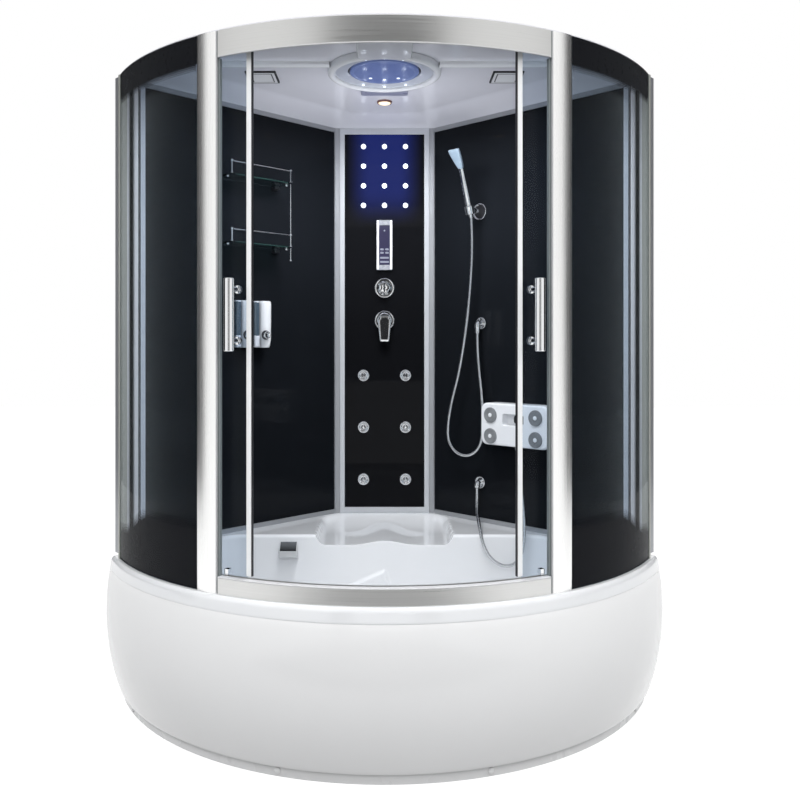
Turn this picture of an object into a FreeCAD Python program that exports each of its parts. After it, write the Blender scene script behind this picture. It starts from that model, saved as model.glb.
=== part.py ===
import FreeCAD, Part
import math
import os

os.makedirs("parts", exist_ok=True)
Vector = FreeCAD.Vector

# Plan: the front is an arc about a vertical axis, two walls stand at 45 degrees, a column cuts the corner
rail_radius = 1067.0
rail_depth = 36.0
wall_distance = 312.0
column_face = 228.0
service_depth = 148.0
wall_depth = 34.0
rail_inner = rail_radius - rail_depth
tub_back = column_face + service_depth

# Heights of the levels that pieces share
deck_height = 540.0
ledge_drop = 13.0
rail_height = 52.0
header_bottom = 2143.0
header_height = 82.0
ledge_height = deck_height - ledge_drop
rail_top = ledge_height + rail_height
header_top = header_bottom + header_height

# Tub shell, apron and plinth
acrylic = 8.0
ledge_setback = 1.0
bulge_proud = 33.0
bulge_height = 340.0
bulge_curve = 900.0
lip_height = 39.0
ledge_radius = rail_inner - ledge_setback
bulge_radius = rail_radius + bulge_proud
lip_bottom = ledge_height - lip_height
skirt_bottom = 34.0
skirt_wall = 4.0
plinth_setback = 67.0
plinth_wall = 5.0
plinth_radius = bulge_radius - plinth_setback
plinth_lap = 22.0
cap_radius = 10.0
cap_depth = 3.0
cap_height = 16.0
cap_angles = (-57.2, -17.8, 17.8, 57.2)
rim_width = 50.0
basin_radius = ledge_radius - rim_width
basin_margin = 45.0
basin_back = 206.0
basin_corner = 90.0
basin_floor = 130.0
basin_steps = ((0.0, deck_height), (25.0, 300.0), (60.0, 170.0), (120.0, basin_floor))
seat_half = 264.0
seat_depth = 40.0
seat_corner = 28.0
seat_gap = 16.0
hump_half = 107.0
hump_rise = 15.5

# Steel frame and feet under the tub
tube = 22.0
foot_height = 40.0
foot_radius = 17.0
foot_plate = 10.0
stud_radius = 6.0
bar_bottom = 90.0
bar_height = 25.0
front_leg_angle = 20.0
leg_gap = 8.0
side_leg_gap = 173.0
front_leg_radius = plinth_radius - plinth_wall - tube / 2 - leg_gap
rear_leg = 141.0
joist_offset = 260.0
cross_bar = 150.0

# Drain and spout
drain_back = -420.0
drain_radius = 26.0
drain_flange = 36.0
flange_depth = 4.0
plug_radius = 32.0
plug_depth = 5.0
plug_stem = 5.0
trap_radius = 45.0
trap_bottom = 20.0
outlet_radius = 20.0
outlet_wall = 2.0
spigot_length = 60.0
outlet_height = 62.0
plug_lift = 10.0
spout_x = -370.0
spout_half = 35.0
spout_top = 517.0
spout_height = 64.0
spout_reach = 40.0
spout_lip = 10.0
spout_slope = 32.0

# Enclosure
fit = 0.3
glass = 6.0
glass_setback = 4.0
post_start = 28.5
post_end = 32.75
post_return = 1.0
post_depth = 21.0
jamb_width = 24.25065
jamb_gap = 0.1
rail_wall = 4.0
groove_lip = 5.0
groove_width = 8.0
groove_depth = 13.0
fixed_glass_radius = rail_radius - glass_setback
post_inner = rail_radius - post_depth
groove_inner = rail_inner + groove_lip
groove_outer = groove_inner + groove_width
frame_bar = 26.0
wall_bar = 18.0
corner_bar = 4.0
jamb_bar = 40.0
frame_proud = 4.0
wall_start = 6.0
wall_margin = 6.8058
column_bar = 21.5
column_glass_half = 174.0
roof_wall = 5.0
roof_rise = 27.0
roof_flange = 30.0
roof_slope = 150.0
roof_inset = 8.0

# Sliding doors, shown open
door_gap = 3.0
door_radius = rail_inner - door_gap
door_edge = 22.7
seal_span = 1.1
door_end = 54.2
door_lap = 7.0
door_drop = 20.0
seal_proud = 4.0
seal_rise = 3.0
seal_lap = 17.0
track_gap = 8.0
track_width = 4.0
track_rise = 31.0
track_drop = 14.0
flange_lap = 16.0
door_bottom = rail_top - door_lap
door_top = header_top - door_drop
seal_bottom = rail_top + seal_rise
seal_top = header_bottom + seal_lap
track_inner = door_radius + track_gap
track_top = header_bottom + track_rise
flange_inner = door_radius - flange_lap
wheel_radius = 12.0
wheel_groove = 2.0
wheel_width = 10.0
axle_radius = 4.0
wheel_angles = (26.6, 51.4)
handle_angle = 25.67
handle_radius = 14.0
handle_off = 43.0
handle_center = door_radius + handle_off
handle_bottom = 1258.0
handle_length = 219.0
handle_pitch = 155.0
standoff_radius = 8.0
guide_angles = (27.3, 52.4)
guide_width = 14.0
guide_pin = 3.0
guide_rise = 20.0
guide_gap = 3.0
washer_depth = 3.0

# Column fittings
lens_radius = 11.0
lens_rows = (2146.0, 2060.0, 1974.0, 1888.0)
lens_columns = (-92.0, 0.0, 92.0)
control_z = 1713.0
control_half = 34.5
control_length = 218.0
control_depth = 14.0
screen_half = 23.5
screen_recess = 4.0
screen_depth = 2.0
diverter_z = 1526.0
mixer_z = 1383.0
plate_radius = 44.0
plate_depth = 5.0
stem_radius = 10.0
stem_hole = 18.0
diverter_radius = 32.0
diverter_depth = 34.0
ridge_half = 4.0
ridge_rise = 6.0
ridge_margin = 2.0
mixer_radius = 37.0
mixer_depth = 28.0
lever_half = 22.0
lever_shoulder = 29.0
lever_tip = 21.0
lever_length = 108.0
lever_thickness = 12.0
lever_pivot = 16.0
ear_width = 4.0
pin_radius = 2.5
jet_x = 92.0
jet_rows = (1143.0, 916.0, 688.0)
jet_ring_radius = 26.0
jet_ring_depth = 6.0
jet_ball = 12.0
jet_center = 3.0
jet_tip = 16.0

# Water manifold and power unit behind the column
pipe_radius = 14.0
pipe_off = 102.0
pipe_back = column_face + pipe_off
valve_radius = 24.0
inlet_radius = 10.4
inlet_length = 26.0
inlet_spacing = 75.0
inlet_z = 760.0
power_half = 75.0
power_bottom = 1640.0
power_height = 150.0
power_depth = 56.0

# Roof fittings
ring_lead = 94.5
ring_radius = 200.0
ring_height = 27.0
ring_lip = 10.0
lens_disc = 122.5
lens_depth = 8.0
lens_thickness = 7.0
spine_half = 90.0
spine_gap = 14.0
spine_lap = 12.0
spine_depth = 30.0
stub_length = 85.0
stub_depth = 16.0
rib_gap = 81.0
rib_half = 12.0
rib_lead = 65.0
rib_depth = 16.0
speaker_gap = 73.0
speaker_lag = 148.0
speaker_half = 55.0
speaker_reach = 63.0
speaker_depth = 6.0
lamp_back = -94.0
lamp_radius = 30.0
lamp_depth = 14.0

# Right wall: distances are along the wall from the column, off the wall, and up
holder_along = 263.0
holder_off = 69.0
holder_z = 1831.0
handset_tilt = 18.0
handset_tail = 34.0
handset_nut = 14.0
head_root = 12.6
holder_plate = 8.0
holder_flange = 35.0
handset_neck = 166.0
handset_radius = 13.5
tail_radius = 9.0
neck_radius = 9.0
head_tilt = 35.0
head_length = 90.0
head_width = 54.0
head_depth = 16.0
cradle_radius = 20.0
cradle_length = 34.0
hose_radius = 7.0
hose_bore = 4.5
elbow_along = 271.0
elbow_off = 28.0
elbow_z = 1367.0
elbow_drop = 42.0
low_elbow_along = 266.0
low_elbow_off = 24.0
low_elbow_z = 705.0
low_elbow_drop = 21.0
elbow_radius = 13.0
elbow_plate = 25.0
elbow_flange = 6.0
outlet_lip = 2.0
panel_start = 321.0
panel_end = 645.0
panel_bottom = 875.0
panel_top = 1043.0
panel_depth = 70.0
panel_corner = 28.0
pad_radius = 31.0
pad_depth = 5.0
pad_along = (371.0, 588.0)
pad_rows = (995.0, 911.0)
grip_start = 430.0
grip_end = 530.0
grip_bottom = 958.0
grip_top = 1003.0
grip_depth = 34.0
nipple_radius = 9.0
nipple_length = 40.0

# Left wall
shelf_start = 325.0
shelf_end = 620.0
shelf_depth = 104.0
shelf_levels = (1924.0, 1666.0)
shelf_rise = 46.0
rack_radius = 3.0
rack_margin = 6.0
bracket_length = 24.0
bracket_height = 14.0
rod_below = 52.0
soap_start = 382.0
soap_width = 85.0
soap_gap = 3.0
soap_bottom = 1266.0
soap_height = 186.0
soap_depth = 58.0
button_radius = 15.0
button_proud = 12.0
button_travel = 8.0
button_z = 1316.0
hose_lead = 70.0
low_hose_lead = 36.0

# Arcs are swept past the walls before they are trimmed
sweep_limit = 70.0

# The part's origin is on the floor under the middle of its box
root2 = math.sqrt(2.0)
axis_y = (bulge_radius - tub_back) / 2
column_half = wall_distance * root2 - column_face
wall_end = math.sqrt(rail_radius**2 - wall_distance**2) + (column_face - column_half) / root2 - wall_margin
side_leg = wall_end - side_leg_gap
wall_angle = 45 + math.degrees(math.asin(wall_distance / rail_radius))
jamb_start = wall_angle - math.degrees(jamb_width / rail_radius)
jamb_end = wall_angle + math.degrees(jamb_width / rail_radius)
rail_end = jamb_start - jamb_gap
crown_inset = roof_flange + roof_slope + roof_wall
crown_radius = rail_radius - roof_inset - crown_inset
crown_margin = wall_depth - frame_proud - crown_inset
crown_half = (wall_distance + crown_margin) * math.sqrt(2)
spine_start = spine_gap - crown_radius
ring_back = (column_face + crown_margin - crown_radius) / 2 - ring_lead
stub_end = ring_back + ring_radius - spine_lap + stub_length
rib_back = ring_back - rib_lead
rib_end = math.sqrt(crown_radius**2 - rib_back**2) - rib_gap
speaker_back = rib_back + speaker_lag
speaker_x = crown_half - speaker_back - speaker_reach - speaker_half - speaker_gap
rail_back_radius = fixed_glass_radius - glass - fit
roof_under = header_top + roof_rise
up = Vector(0, 0, 1)
axis = Vector(0, axis_y, 0)


def at(radius, angle, z=0.0):
    turn = math.radians(angle)
    return Vector(radius * math.sin(turn), axis_y - radius * math.cos(turn), z)


def plan(x, back, z=0.0):
    return Vector(x, axis_y + back, z)


def wall_point(along, off, z):
    return plan(column_half + (along - off) / root2, column_face - (along + off) / root2, z)


def line(a, b):
    return Part.LineSegment(a, b).toShape()


def arc(a, b, c):
    return Part.Arc(a, b, c).toShape()


def lift(edges, height):
    return Part.Face(Part.Wire(edges)).extrude(Vector(0, 0, height))


def polygon(points):
    return Part.Face(Part.makePolygon(points + points[:1]))


def block(x0, x1, y0, y1, z0, z1):
    return Part.makeBox(x1 - x0, y1 - y0, z1 - z0, Vector(x0, y0, z0))


def rod(start, end, radius):
    way = end - start
    return Part.makeCylinder(radius, way.Length, start, way)


def cone(start, end, first, last):
    way = end - start
    return Part.makeCone(first, last, way.Length, start, way)


def sector(inner, outer, first, last, z0, z1):
    middle = (first + last) / 2
    edges = [
        arc(at(outer, first, z0), at(outer, middle, z0), at(outer, last, z0)),
        line(at(outer, last, z0), at(inner, last, z0)),
        arc(at(inner, last, z0), at(inner, middle, z0), at(inner, first, z0)),
        line(at(inner, first, z0), at(outer, first, z0)),
    ]
    return lift(edges, z1 - z0)


def sweep(face, first, last):
    return face.rotated(axis, up, first).revolve(axis, up, last - first)


def ring_bar(points, first, last):
    return sweep(polygon([plan(0, -radius, z) for radius, z in points]), first, last)


def radial(angle, z, inner, outer, radius):
    return rod(at(inner, angle, z), at(outer, angle, z), radius)


def on_wall(shape):
    return shape.rotated(Vector(0, 0, 0), up, -45).translated(plan(column_half, column_face))


def wall_block(s0, s1, n0, n1, z0, z1):
    return on_wall(block(s0, s1, -n1, -n0, z0, z1))


def column_block(x0, x1, n0, n1, z0, z1):
    return block(x0, x1, -n1, -n0, z0, z1).translated(plan(0, column_face))


def column_rod(x, z, n0, n1, radius):
    return rod(plan(x, column_face - n0, z), plan(x, column_face - n1, z), radius)


def mirrored(shape):
    return shape.mirror(Vector(0, 0, 0), Vector(1, 0, 0))


def fused(shapes):
    return shapes[0].fuse(shapes[1:]).removeSplitter()


def save(node, *solids):
    shape = solids[0] if len(solids) == 1 else Part.makeCompound(list(solids))
    shape.exportStep("parts/%s.step" % node)


def save_pair(node, right):
    save(node + "_right", right)
    save(node + "_left", mirrored(right))


# Outline of the tub and the roof: a front arc, two wall edges and a straight back edge
def cabin_outline(radius, margin, back, z):
    end = 45 + math.degrees(math.asin((wall_distance + margin) / radius))
    side = (wall_distance + margin) * root2 - back
    return [
        arc(at(radius, -end, z), at(radius, 0, z), at(radius, end, z)),
        line(at(radius, end, z), plan(side, back, z)),
        line(plan(side, back, z), plan(-side, back, z)),
        line(plan(-side, back, z), at(radius, -end, z)),
    ]


def tub_space(z0, z1):
    return lift(cabin_outline(bulge_radius + acrylic, wall_depth, tub_back, z0), z1 - z0)


# The apron's section is one shallow arc that is widest at bulge_height
def bulge(z):
    return bulge_radius - bulge_curve + math.sqrt(bulge_curve**2 - (z - bulge_height)**2)


def section_point(radius, z):
    return plan(0, -radius, z)


def bulge_arc(z0, z1, inset):
    middle = (z0 + z1) / 2
    heights = (z0, middle, z1)
    return arc(*[section_point(bulge(z) - inset, z) for z in heights])


# Basin outline: front arc, rounded into two sides along the walls and a straight back
def basin_outline(inset, z):
    radius = basin_radius - inset
    side = wall_distance - basin_margin - inset
    back = basin_back + inset
    turn = 45 + math.degrees(math.asin((side - basin_corner) / (radius - basin_corner)))
    center = at(radius - basin_corner, turn, z)
    cut = basin_corner * math.tan(math.radians(22.5))
    knee = plan(side * root2 + back, -back, z)
    round_center = knee + Vector(-cut, -basin_corner, 0)

    def rim(middle, angle):
        way = math.radians(angle)
        return middle + Vector(math.cos(way), math.sin(way), 0) * basin_corner

    right = [at(radius, turn, z), rim(center, (turn - 45) / 2), rim(center, 45)]
    right += [rim(round_center, 45), rim(round_center, 67.5), rim(round_center, 90)]
    left = [Vector(-p.x, p.y, p.z) for p in right]
    return Part.Wire([
        arc(left[0], at(radius, 0, z), right[0]),
        arc(*right[:3]),
        line(right[2], right[3]),
        arc(*right[3:]),
        line(right[5], left[5]),
        arc(left[5], left[4], left[3]),
        line(left[3], left[2]),
        arc(left[2], left[1], left[0]),
    ])


def basin_inset(z):
    (first, high), (second, low) = basin_steps[:2]
    return first + (second - first) * (high - z) / (high - low)


# The seat is a shallow tray with rounded corners and a low hump along the middle of its floor
def seat_section(grow):
    half = seat_half + grow
    low = deck_height - seat_depth - grow
    bend = seat_corner + grow
    cut = bend * (1 - math.sqrt(0.5))
    middle = hump_half / 2
    hump_radius = (middle**2 + (hump_rise / 2)**2) / hump_rise
    swing = math.asin(middle / hump_radius) / 2
    mid_x = hump_half - hump_radius * math.sin(swing)
    mid_z = low + hump_radius * (1 - math.cos(swing))
    steps = [(half, deck_height), (half, low + bend), (half - cut, low + cut), (half - bend, low),
             (hump_half, low), (mid_x, mid_z), (middle, low + hump_rise / 2)]
    right = [plan(x, 0, z) for x, z in steps]
    left = [plan(-x, 0, z) for x, z in steps]
    top = plan(0, 0, low + hump_rise)
    return Part.Face(Part.Wire([
        line(left[0], left[1]), arc(*left[1:4]), line(left[3], left[4]), arc(*left[4:7]),
        arc(left[6], top, right[6]),
        arc(right[6], right[5], right[4]), line(right[4], right[3]), arc(right[3], right[2], right[1]),
        line(right[1], right[0]), line(right[0], left[0]),
    ]))


def seat(grow, front, back):
    return seat_section(grow).translated(Vector(0, front, 0)).extrude(Vector(0, back - front, 0))


def tub_shell():
    under = ledge_height - acrylic
    inner = ledge_radius - acrylic
    rim = Part.Face(Part.Wire([
        line(section_point(inner, deck_height), section_point(ledge_radius, deck_height)),
        line(section_point(ledge_radius, deck_height), section_point(ledge_radius, ledge_height)),
        line(section_point(ledge_radius, ledge_height), section_point(bulge(ledge_height), ledge_height)),
        bulge_arc(ledge_height, lip_bottom, 0),
        line(section_point(bulge(lip_bottom), lip_bottom),
             section_point(bulge(lip_bottom) - acrylic, lip_bottom)),
        bulge_arc(lip_bottom, under, acrylic),
        line(section_point(bulge(under) - acrylic, under), section_point(inner, under)),
        line(section_point(inner, under), section_point(inner, deck_height)),
    ]))
    rim = sweep(rim, -sweep_limit, sweep_limit).common(tub_space(0, deck_height))
    deck = lift(cabin_outline(ledge_radius, wall_depth, tub_back, deck_height - acrylic), acrylic)
    seat_back = column_face - seat_gap
    outside = [basin_outline(inset - acrylic, z) for inset, z in basin_steps[:-1]]
    outside.append(basin_outline(basin_steps[-1][0] - acrylic, basin_floor - acrylic))
    inside = [basin_outline(inset, z) for inset, z in basin_steps]
    bowl = Part.makeLoft(outside, True, True)
    shell = fused([deck, rim, bowl, seat(acrylic, -basin_back, seat_back + acrylic)])
    water = Part.makeLoft(inside, True, True)
    drain = rod(plan(0, drain_back, 0), plan(0, drain_back, deck_height), drain_radius)
    return shell.cut([water, seat(0, -basin_back - acrylic, seat_back), drain])


def tub_skirt():
    face = Part.Face(Part.Wire([
        bulge_arc(lip_bottom, skirt_bottom, 0),
        line(section_point(bulge(skirt_bottom), skirt_bottom),
             section_point(bulge(skirt_bottom) - skirt_wall, skirt_bottom)),
        bulge_arc(skirt_bottom, lip_bottom, skirt_wall),
        line(section_point(bulge(lip_bottom) - skirt_wall, lip_bottom),
             section_point(bulge(lip_bottom), lip_bottom)),
    ]))
    return sweep(face, -sweep_limit, sweep_limit).common(tub_space(0, deck_height))


def plinth():
    inner = plinth_radius - plinth_wall
    low = skirt_bottom + plinth_lap - plinth_wall
    high = skirt_bottom + plinth_lap
    reach = bulge(low) - skirt_wall - fit
    points = [(inner, 0), (plinth_radius, 0), (plinth_radius, low),
              (reach, low), (reach, high), (inner, high)]
    strip = ring_bar(points, -sweep_limit, sweep_limit).common(tub_space(0, deck_height))
    caps = [radial(angle, cap_height, plinth_radius, plinth_radius + cap_depth, cap_radius)
            for angle in cap_angles]
    return [strip] + caps


save("tub_shell", tub_shell())
save("tub_skirt", tub_skirt())
save("plinth_strip", *plinth())


# Steel frame: six legs, a ring of bars between them, two joists under the basin and a cross bar
def leg_centers():
    front = at(front_leg_radius, front_leg_angle)
    side = wall_point(side_leg, -tube / 4, 0)
    rear = wall_point(rear_leg, -tube / 4, 0)
    right = [front, side, rear]
    left = [Vector(-p.x, p.y, 0) for p in right]
    return right, left


def bar(start, end, z0, z1):
    way = end - start
    turn = math.degrees(math.atan2(way.y, way.x))
    beam = block(0, way.Length, -tube / 2, tube / 2, z0, z1)
    return beam.rotated(Vector(0, 0, 0), up, turn).translated(start)


def tub_frame():
    right, left = leg_centers()
    bar_top = bar_bottom + bar_height
    legs = []
    for p, turn in zip(right + left, (front_leg_angle, 45, 45, -front_leg_angle, 45, 45)):
        leg = block(-tube / 2, tube / 2, -tube / 2, tube / 2, foot_height, deck_height - acrylic)
        legs.append(leg.rotated(Vector(0, 0, 0), up, turn).translated(p))
    runs = [(left[0], right[0]), (left[2], right[2])]
    for side in (right, left):
        runs += [(side[0], side[1]), (side[1], side[2])]
    cross_x = right[1].x + (right[1].y - axis_y + cross_bar)
    runs.append((plan(-cross_x, -cross_bar), plan(cross_x, -cross_bar)))
    front_back = right[0].y - axis_y
    bars = [bar(start, end, bar_bottom, bar_top) for start, end in runs]
    pad_z = basin_floor - acrylic
    for x in (-joist_offset, joist_offset):
        bars.append(bar(plan(x, front_back), plan(x, -cross_bar), bar_bottom, bar_top))
        pad = block(x - tube / 2, x + tube / 2, 0, 2 * tube, bar_top, pad_z)
        bars.append(pad.translated(plan(0, (front_back - cross_bar) / 2)))
    return fused(legs + bars)


def feet():
    right, left = leg_centers()
    solids = []
    for p in right + left:
        plate = rod(p, p + up * foot_plate, foot_radius)
        solids.append(plate.fuse(rod(p, p + up * foot_height, stud_radius)))
    return solids


save("tub_frame", tub_frame())
save("leveling_feet", *feet())


# Drain: flange in the basin, tail pipe, trap and an outlet towards the corner
def drain_fitting():
    center = plan(0, drain_back, 0)
    floor_under = basin_floor - acrylic
    flange = rod(center + up * basin_floor, center + up * (basin_floor + flange_depth), drain_flange)
    tail = rod(center + up * (trap_bottom + outlet_wall), center + up * basin_floor, drain_radius - fit)
    trap = rod(center + up * trap_bottom, center + up * (floor_under - fit), trap_radius)
    body = flange.fuse([tail, trap])
    mouth_bottom = center + up * (floor_under - 2 * plug_lift)
    mouth = rod(mouth_bottom, center + up * deck_height, drain_radius - acrylic / 2)
    body = body.cut(mouth)
    start = plan(0, drain_back, outlet_height)
    neck = plan(0, tub_back - spigot_length, outlet_height)
    end = plan(0, tub_back, outlet_height)
    pipe = rod(start, neck, outlet_radius - outlet_wall)
    spigot = rod(neck, end, outlet_radius)
    bore = rod(start, end, outlet_radius - 2 * outlet_wall)
    return fused([body, pipe, spigot]).cut(bore)


def drain_plug():
    center = plan(0, drain_back, 0)
    seat_z = basin_floor + flange_depth + fit
    disc = rod(center + up * seat_z, center + up * (seat_z + plug_depth), plug_radius)
    stem = rod(center + up * (basin_floor - acrylic), center + up * seat_z, plug_stem)
    return disc.fuse(stem)


# Waterfall spout: a wedge whose back follows the slope of the basin's back wall
def spout():
    low = spout_top - spout_height
    points = [
        (-basin_back - basin_inset(spout_top), spout_top),
        (-basin_back - basin_inset(low), low),
        (-basin_back - basin_inset(low) - spout_reach, low + spout_lip),
        (-basin_back - basin_inset(spout_top) - spout_reach, spout_top - spout_slope),
    ]
    face = polygon([plan(spout_x - spout_half, back, z) for back, z in points])
    return face.extrude(Vector(2 * spout_half, 0, 0))


save("drain_fitting", drain_fitting())
save("drain_plug", drain_plug())
save("waterfall_spout", spout())


# Rails: full depth between the posts, shallower behind the fixed glass
def three_spans(section):
    middle = ring_bar(section(rail_radius), -post_start, post_start)
    sides = [ring_bar(section(rail_back_radius), post_start, rail_end),
             ring_bar(section(rail_back_radius), -rail_end, -post_start)]
    return fused([middle] + sides)


def bottom_section(outer):
    web = rail_top - groove_depth - rail_wall
    return [
        (outer, ledge_height), (outer, rail_top), (groove_outer, rail_top),
        (groove_outer, rail_top - groove_depth), (groove_inner, rail_top - groove_depth),
        (groove_inner, rail_top), (rail_inner, rail_top), (rail_inner, ledge_height),
        (rail_inner + rail_wall, ledge_height), (rail_inner + rail_wall, web),
        (outer - rail_wall, web), (outer - rail_wall, ledge_height),
    ]


def top_section(outer):
    shelf = track_top - track_drop
    return [
        (outer, header_bottom), (outer, header_top), (flange_inner, header_top),
        (flange_inner, header_top - rail_wall), (outer - rail_wall, header_top - rail_wall),
        (outer - rail_wall, shelf + rail_wall), (track_inner + track_width, shelf + rail_wall),
        (track_inner + track_width, track_top), (track_inner, track_top), (track_inner, shelf),
        (outer - rail_wall, shelf), (outer - rail_wall, header_bottom),
    ]


# Posts: a full-height face, and a hollow core between the rails that shows as a return strip
def post():
    front = fixed_glass_radius - glass
    face = sector(front, rail_radius, post_start, post_end, ledge_height, header_top)
    core = sector(post_inner, front, post_start - post_return, post_end, rail_top, header_bottom)
    wall = math.degrees(rail_wall / rail_radius)
    hollow = sector(post_inner + rail_wall, rail_radius - rail_wall, post_start + wall,
                    post_end - wall, rail_top, header_bottom)
    return fused([face, core]).cut(hollow)


# Jambs close the front arc on the wall frames' faces
def jamb():
    bar = sector(groove_inner, rail_radius, jamb_start, jamb_end, ledge_height, header_top)
    return bar.cut(wall_block(0, 2 * wall_end, -wall_end, frame_proud, 0, 2 * header_top))


save("bottom_rail", three_spans(bottom_section))
save("top_rail", three_spans(top_section))
save("door_posts", post(), mirrored(post()))
save("rear_jambs", jamb(), mirrored(jamb()))
save_pair("fixed_glass", sector(fixed_glass_radius - glass, fixed_glass_radius, post_end, jamb_start,
                                ledge_height, header_top))


# Wall panels: a framed sheet of glass, with a thin bar at the column and a wide one beside the jamb
def wall_frame():
    outer = wall_block(wall_start, wall_end, frame_proud - wall_depth, frame_proud, deck_height, header_top)
    window = wall_block(wall_start + corner_bar, wall_end - jamb_bar, -wall_depth, 2 * frame_proud,
                        deck_height + wall_bar, header_top - wall_bar)
    return outer.cut(window)


save_pair("wall_glass", wall_block(wall_start + corner_bar, wall_end - jamb_bar, -glass, 0,
                                   deck_height + wall_bar, header_top - wall_bar))
save("wall_frames", wall_frame(), mirrored(wall_frame()))


# Column: a framed sheet of glass with corner profiles that close the joint with each wall
def column_glass():
    sheet = column_block(-column_glass_half, column_glass_half, -glass, 0,
                         deck_height + frame_bar, header_top - frame_bar)
    ball_hole = jet_ball + 2 * fit
    holes = [column_rod(x, z, -2 * glass, glass, ball_hole) for x in (-jet_x, jet_x) for z in jet_rows]
    holes += [column_rod(0, z, -2 * glass, glass, stem_hole) for z in (diverter_z, mixer_z)]
    return sheet.cut(holes)


def column_frame():
    half = column_glass_half + column_bar
    outer = column_block(-half, half, frame_proud - wall_depth, frame_proud, deck_height, header_top)
    window = column_block(-column_glass_half, column_glass_half, -wall_depth, 2 * frame_proud,
                          deck_height + frame_bar, header_top - frame_bar)
    corner = polygon([
        plan(half, column_face - frame_proud, deck_height),
        wall_point(wall_start, frame_proud, deck_height),
        wall_point(wall_start, frame_proud - wall_depth * 2 / 3, deck_height),
        plan(half, column_face + wall_depth * 2 / 3, deck_height),
    ]).extrude(Vector(0, 0, header_top - deck_height))
    return [outer.cut(window), corner, mirrored(corner)]


save("column_glass", column_glass())
save("column_frame", *column_frame())


# Roof: a flange on the rails and frames, rising in a slope to a flat crown
def roof_outline(inset, z):
    radius = rail_radius - roof_inset - inset
    margin = wall_depth - frame_proud - inset
    return Part.Wire(cabin_outline(radius, margin, column_face + margin, z))


def roof_shell():
    flange = Part.Face(roof_outline(0, header_top)).extrude(up * roof_wall)
    outer = Part.makeLoft([roof_outline(roof_flange, header_top + roof_wall),
                           roof_outline(crown_inset - roof_wall, roof_under + roof_wall)], True, True)
    inner = Part.makeLoft([roof_outline(roof_flange + roof_wall, header_top),
                           roof_outline(crown_inset, roof_under)], True, True)
    rib_start = math.sqrt(ring_radius**2 - (ring_back - rib_back - rib_half)**2) + fit
    rib = block(rib_start, rib_end, rib_back - rib_half, rib_back + rib_half,
                roof_under - rib_depth, roof_under + fit).translated(axis)
    return fused([fused([flange, outer]).cut(inner), rib, mirrored(rib)])


# Overhead shower: a ring with a shallow dish around a flat lens, joined to the front by a spine
def rain_head():
    center = plan(0, ring_back, roof_under)
    rim = rod(center - up * ring_height, center, ring_radius)
    lens_top = center - up * lens_depth
    dish = cone(center - up * ring_height, lens_top, ring_radius - ring_lip, lens_disc + fit)
    front = ring_back - ring_radius + spine_lap
    rear = ring_back + ring_radius - spine_lap
    spine = block(-spine_half, spine_half, spine_start, front, roof_under - spine_depth, roof_under)
    stub = block(-spine_half, spine_half, rear, stub_end, roof_under - stub_depth, roof_under)
    lens = rod(lens_top - up * lens_thickness, lens_top, lens_disc)
    stub = stub.translated(axis).cut(dish)
    return fused([rim.cut(dish), spine.translated(axis), stub]), lens


def speaker(x):
    plate = block(x - speaker_half, x + speaker_half, speaker_back - speaker_reach,
                  speaker_back + speaker_reach, roof_under - speaker_depth, roof_under)
    return plate.translated(axis)


def roof_lamp():
    top = plan(0, lamp_back, roof_under)
    return rod(top - up * lamp_depth, top, lamp_radius)


save("roof_shell", roof_shell())
save("rain_head", *rain_head())
save("roof_fittings", speaker(speaker_x), speaker(-speaker_x), roof_lamp())


# Sliding doors: curved glass hung on two grooved wheels, guided at the bottom rail
wheel_z = track_top + wheel_radius - wheel_groove + fit
wheel_center = track_inner + track_width / 2
wheel_inner = wheel_center - wheel_width / 2
wheel_outer = wheel_center + wheel_width / 2
handle_heights = [handle_bottom + (handle_length + side * handle_pitch) / 2 for side in (-1, 1)]
bolt_radius = 4.0


def door_glass():
    sheet = sector(door_radius - glass, door_radius, door_edge + seal_span, door_end, door_bottom, door_top)
    inner = door_radius - 2 * glass
    outer = door_radius + glass
    holes = [radial(angle, wheel_z, inner, outer, axle_radius + fit) for angle in wheel_angles]
    holes += [radial(handle_angle, z, inner, outer, bolt_radius + fit) for z in handle_heights]
    return sheet.cut(holes)


def door_handle():
    bar_low = at(handle_center, handle_angle, handle_bottom)
    shapes = [rod(bar_low, bar_low + up * handle_length, handle_radius)]
    inner = door_radius - 2 * glass
    for z in handle_heights:
        shapes.append(radial(handle_angle, z, door_radius + fit / 2, handle_center, standoff_radius))
        shapes.append(radial(handle_angle, z, inner, handle_center, bolt_radius))
        shapes.append(radial(handle_angle, z, inner, door_radius - glass - fit, standoff_radius))
    return fused(shapes)


def door_seal():
    return sector(door_radius - glass - seal_proud, door_radius + seal_proud, door_edge,
                  door_edge + seal_span, seal_bottom, seal_top)


def wheel(angle):
    body = radial(angle, wheel_z, wheel_inner, wheel_outer, wheel_radius)
    slot_half = track_width / 2 + 2 * fit
    slot = radial(angle, wheel_z, wheel_center - slot_half, wheel_center + slot_half, 2 * wheel_radius)
    slot = slot.cut(radial(angle, wheel_z, wheel_inner, wheel_outer, wheel_radius - wheel_groove))
    bore = radial(angle, wheel_z, wheel_inner - fit, wheel_outer + fit, axle_radius + fit)
    return body.cut([slot, bore])


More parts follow.
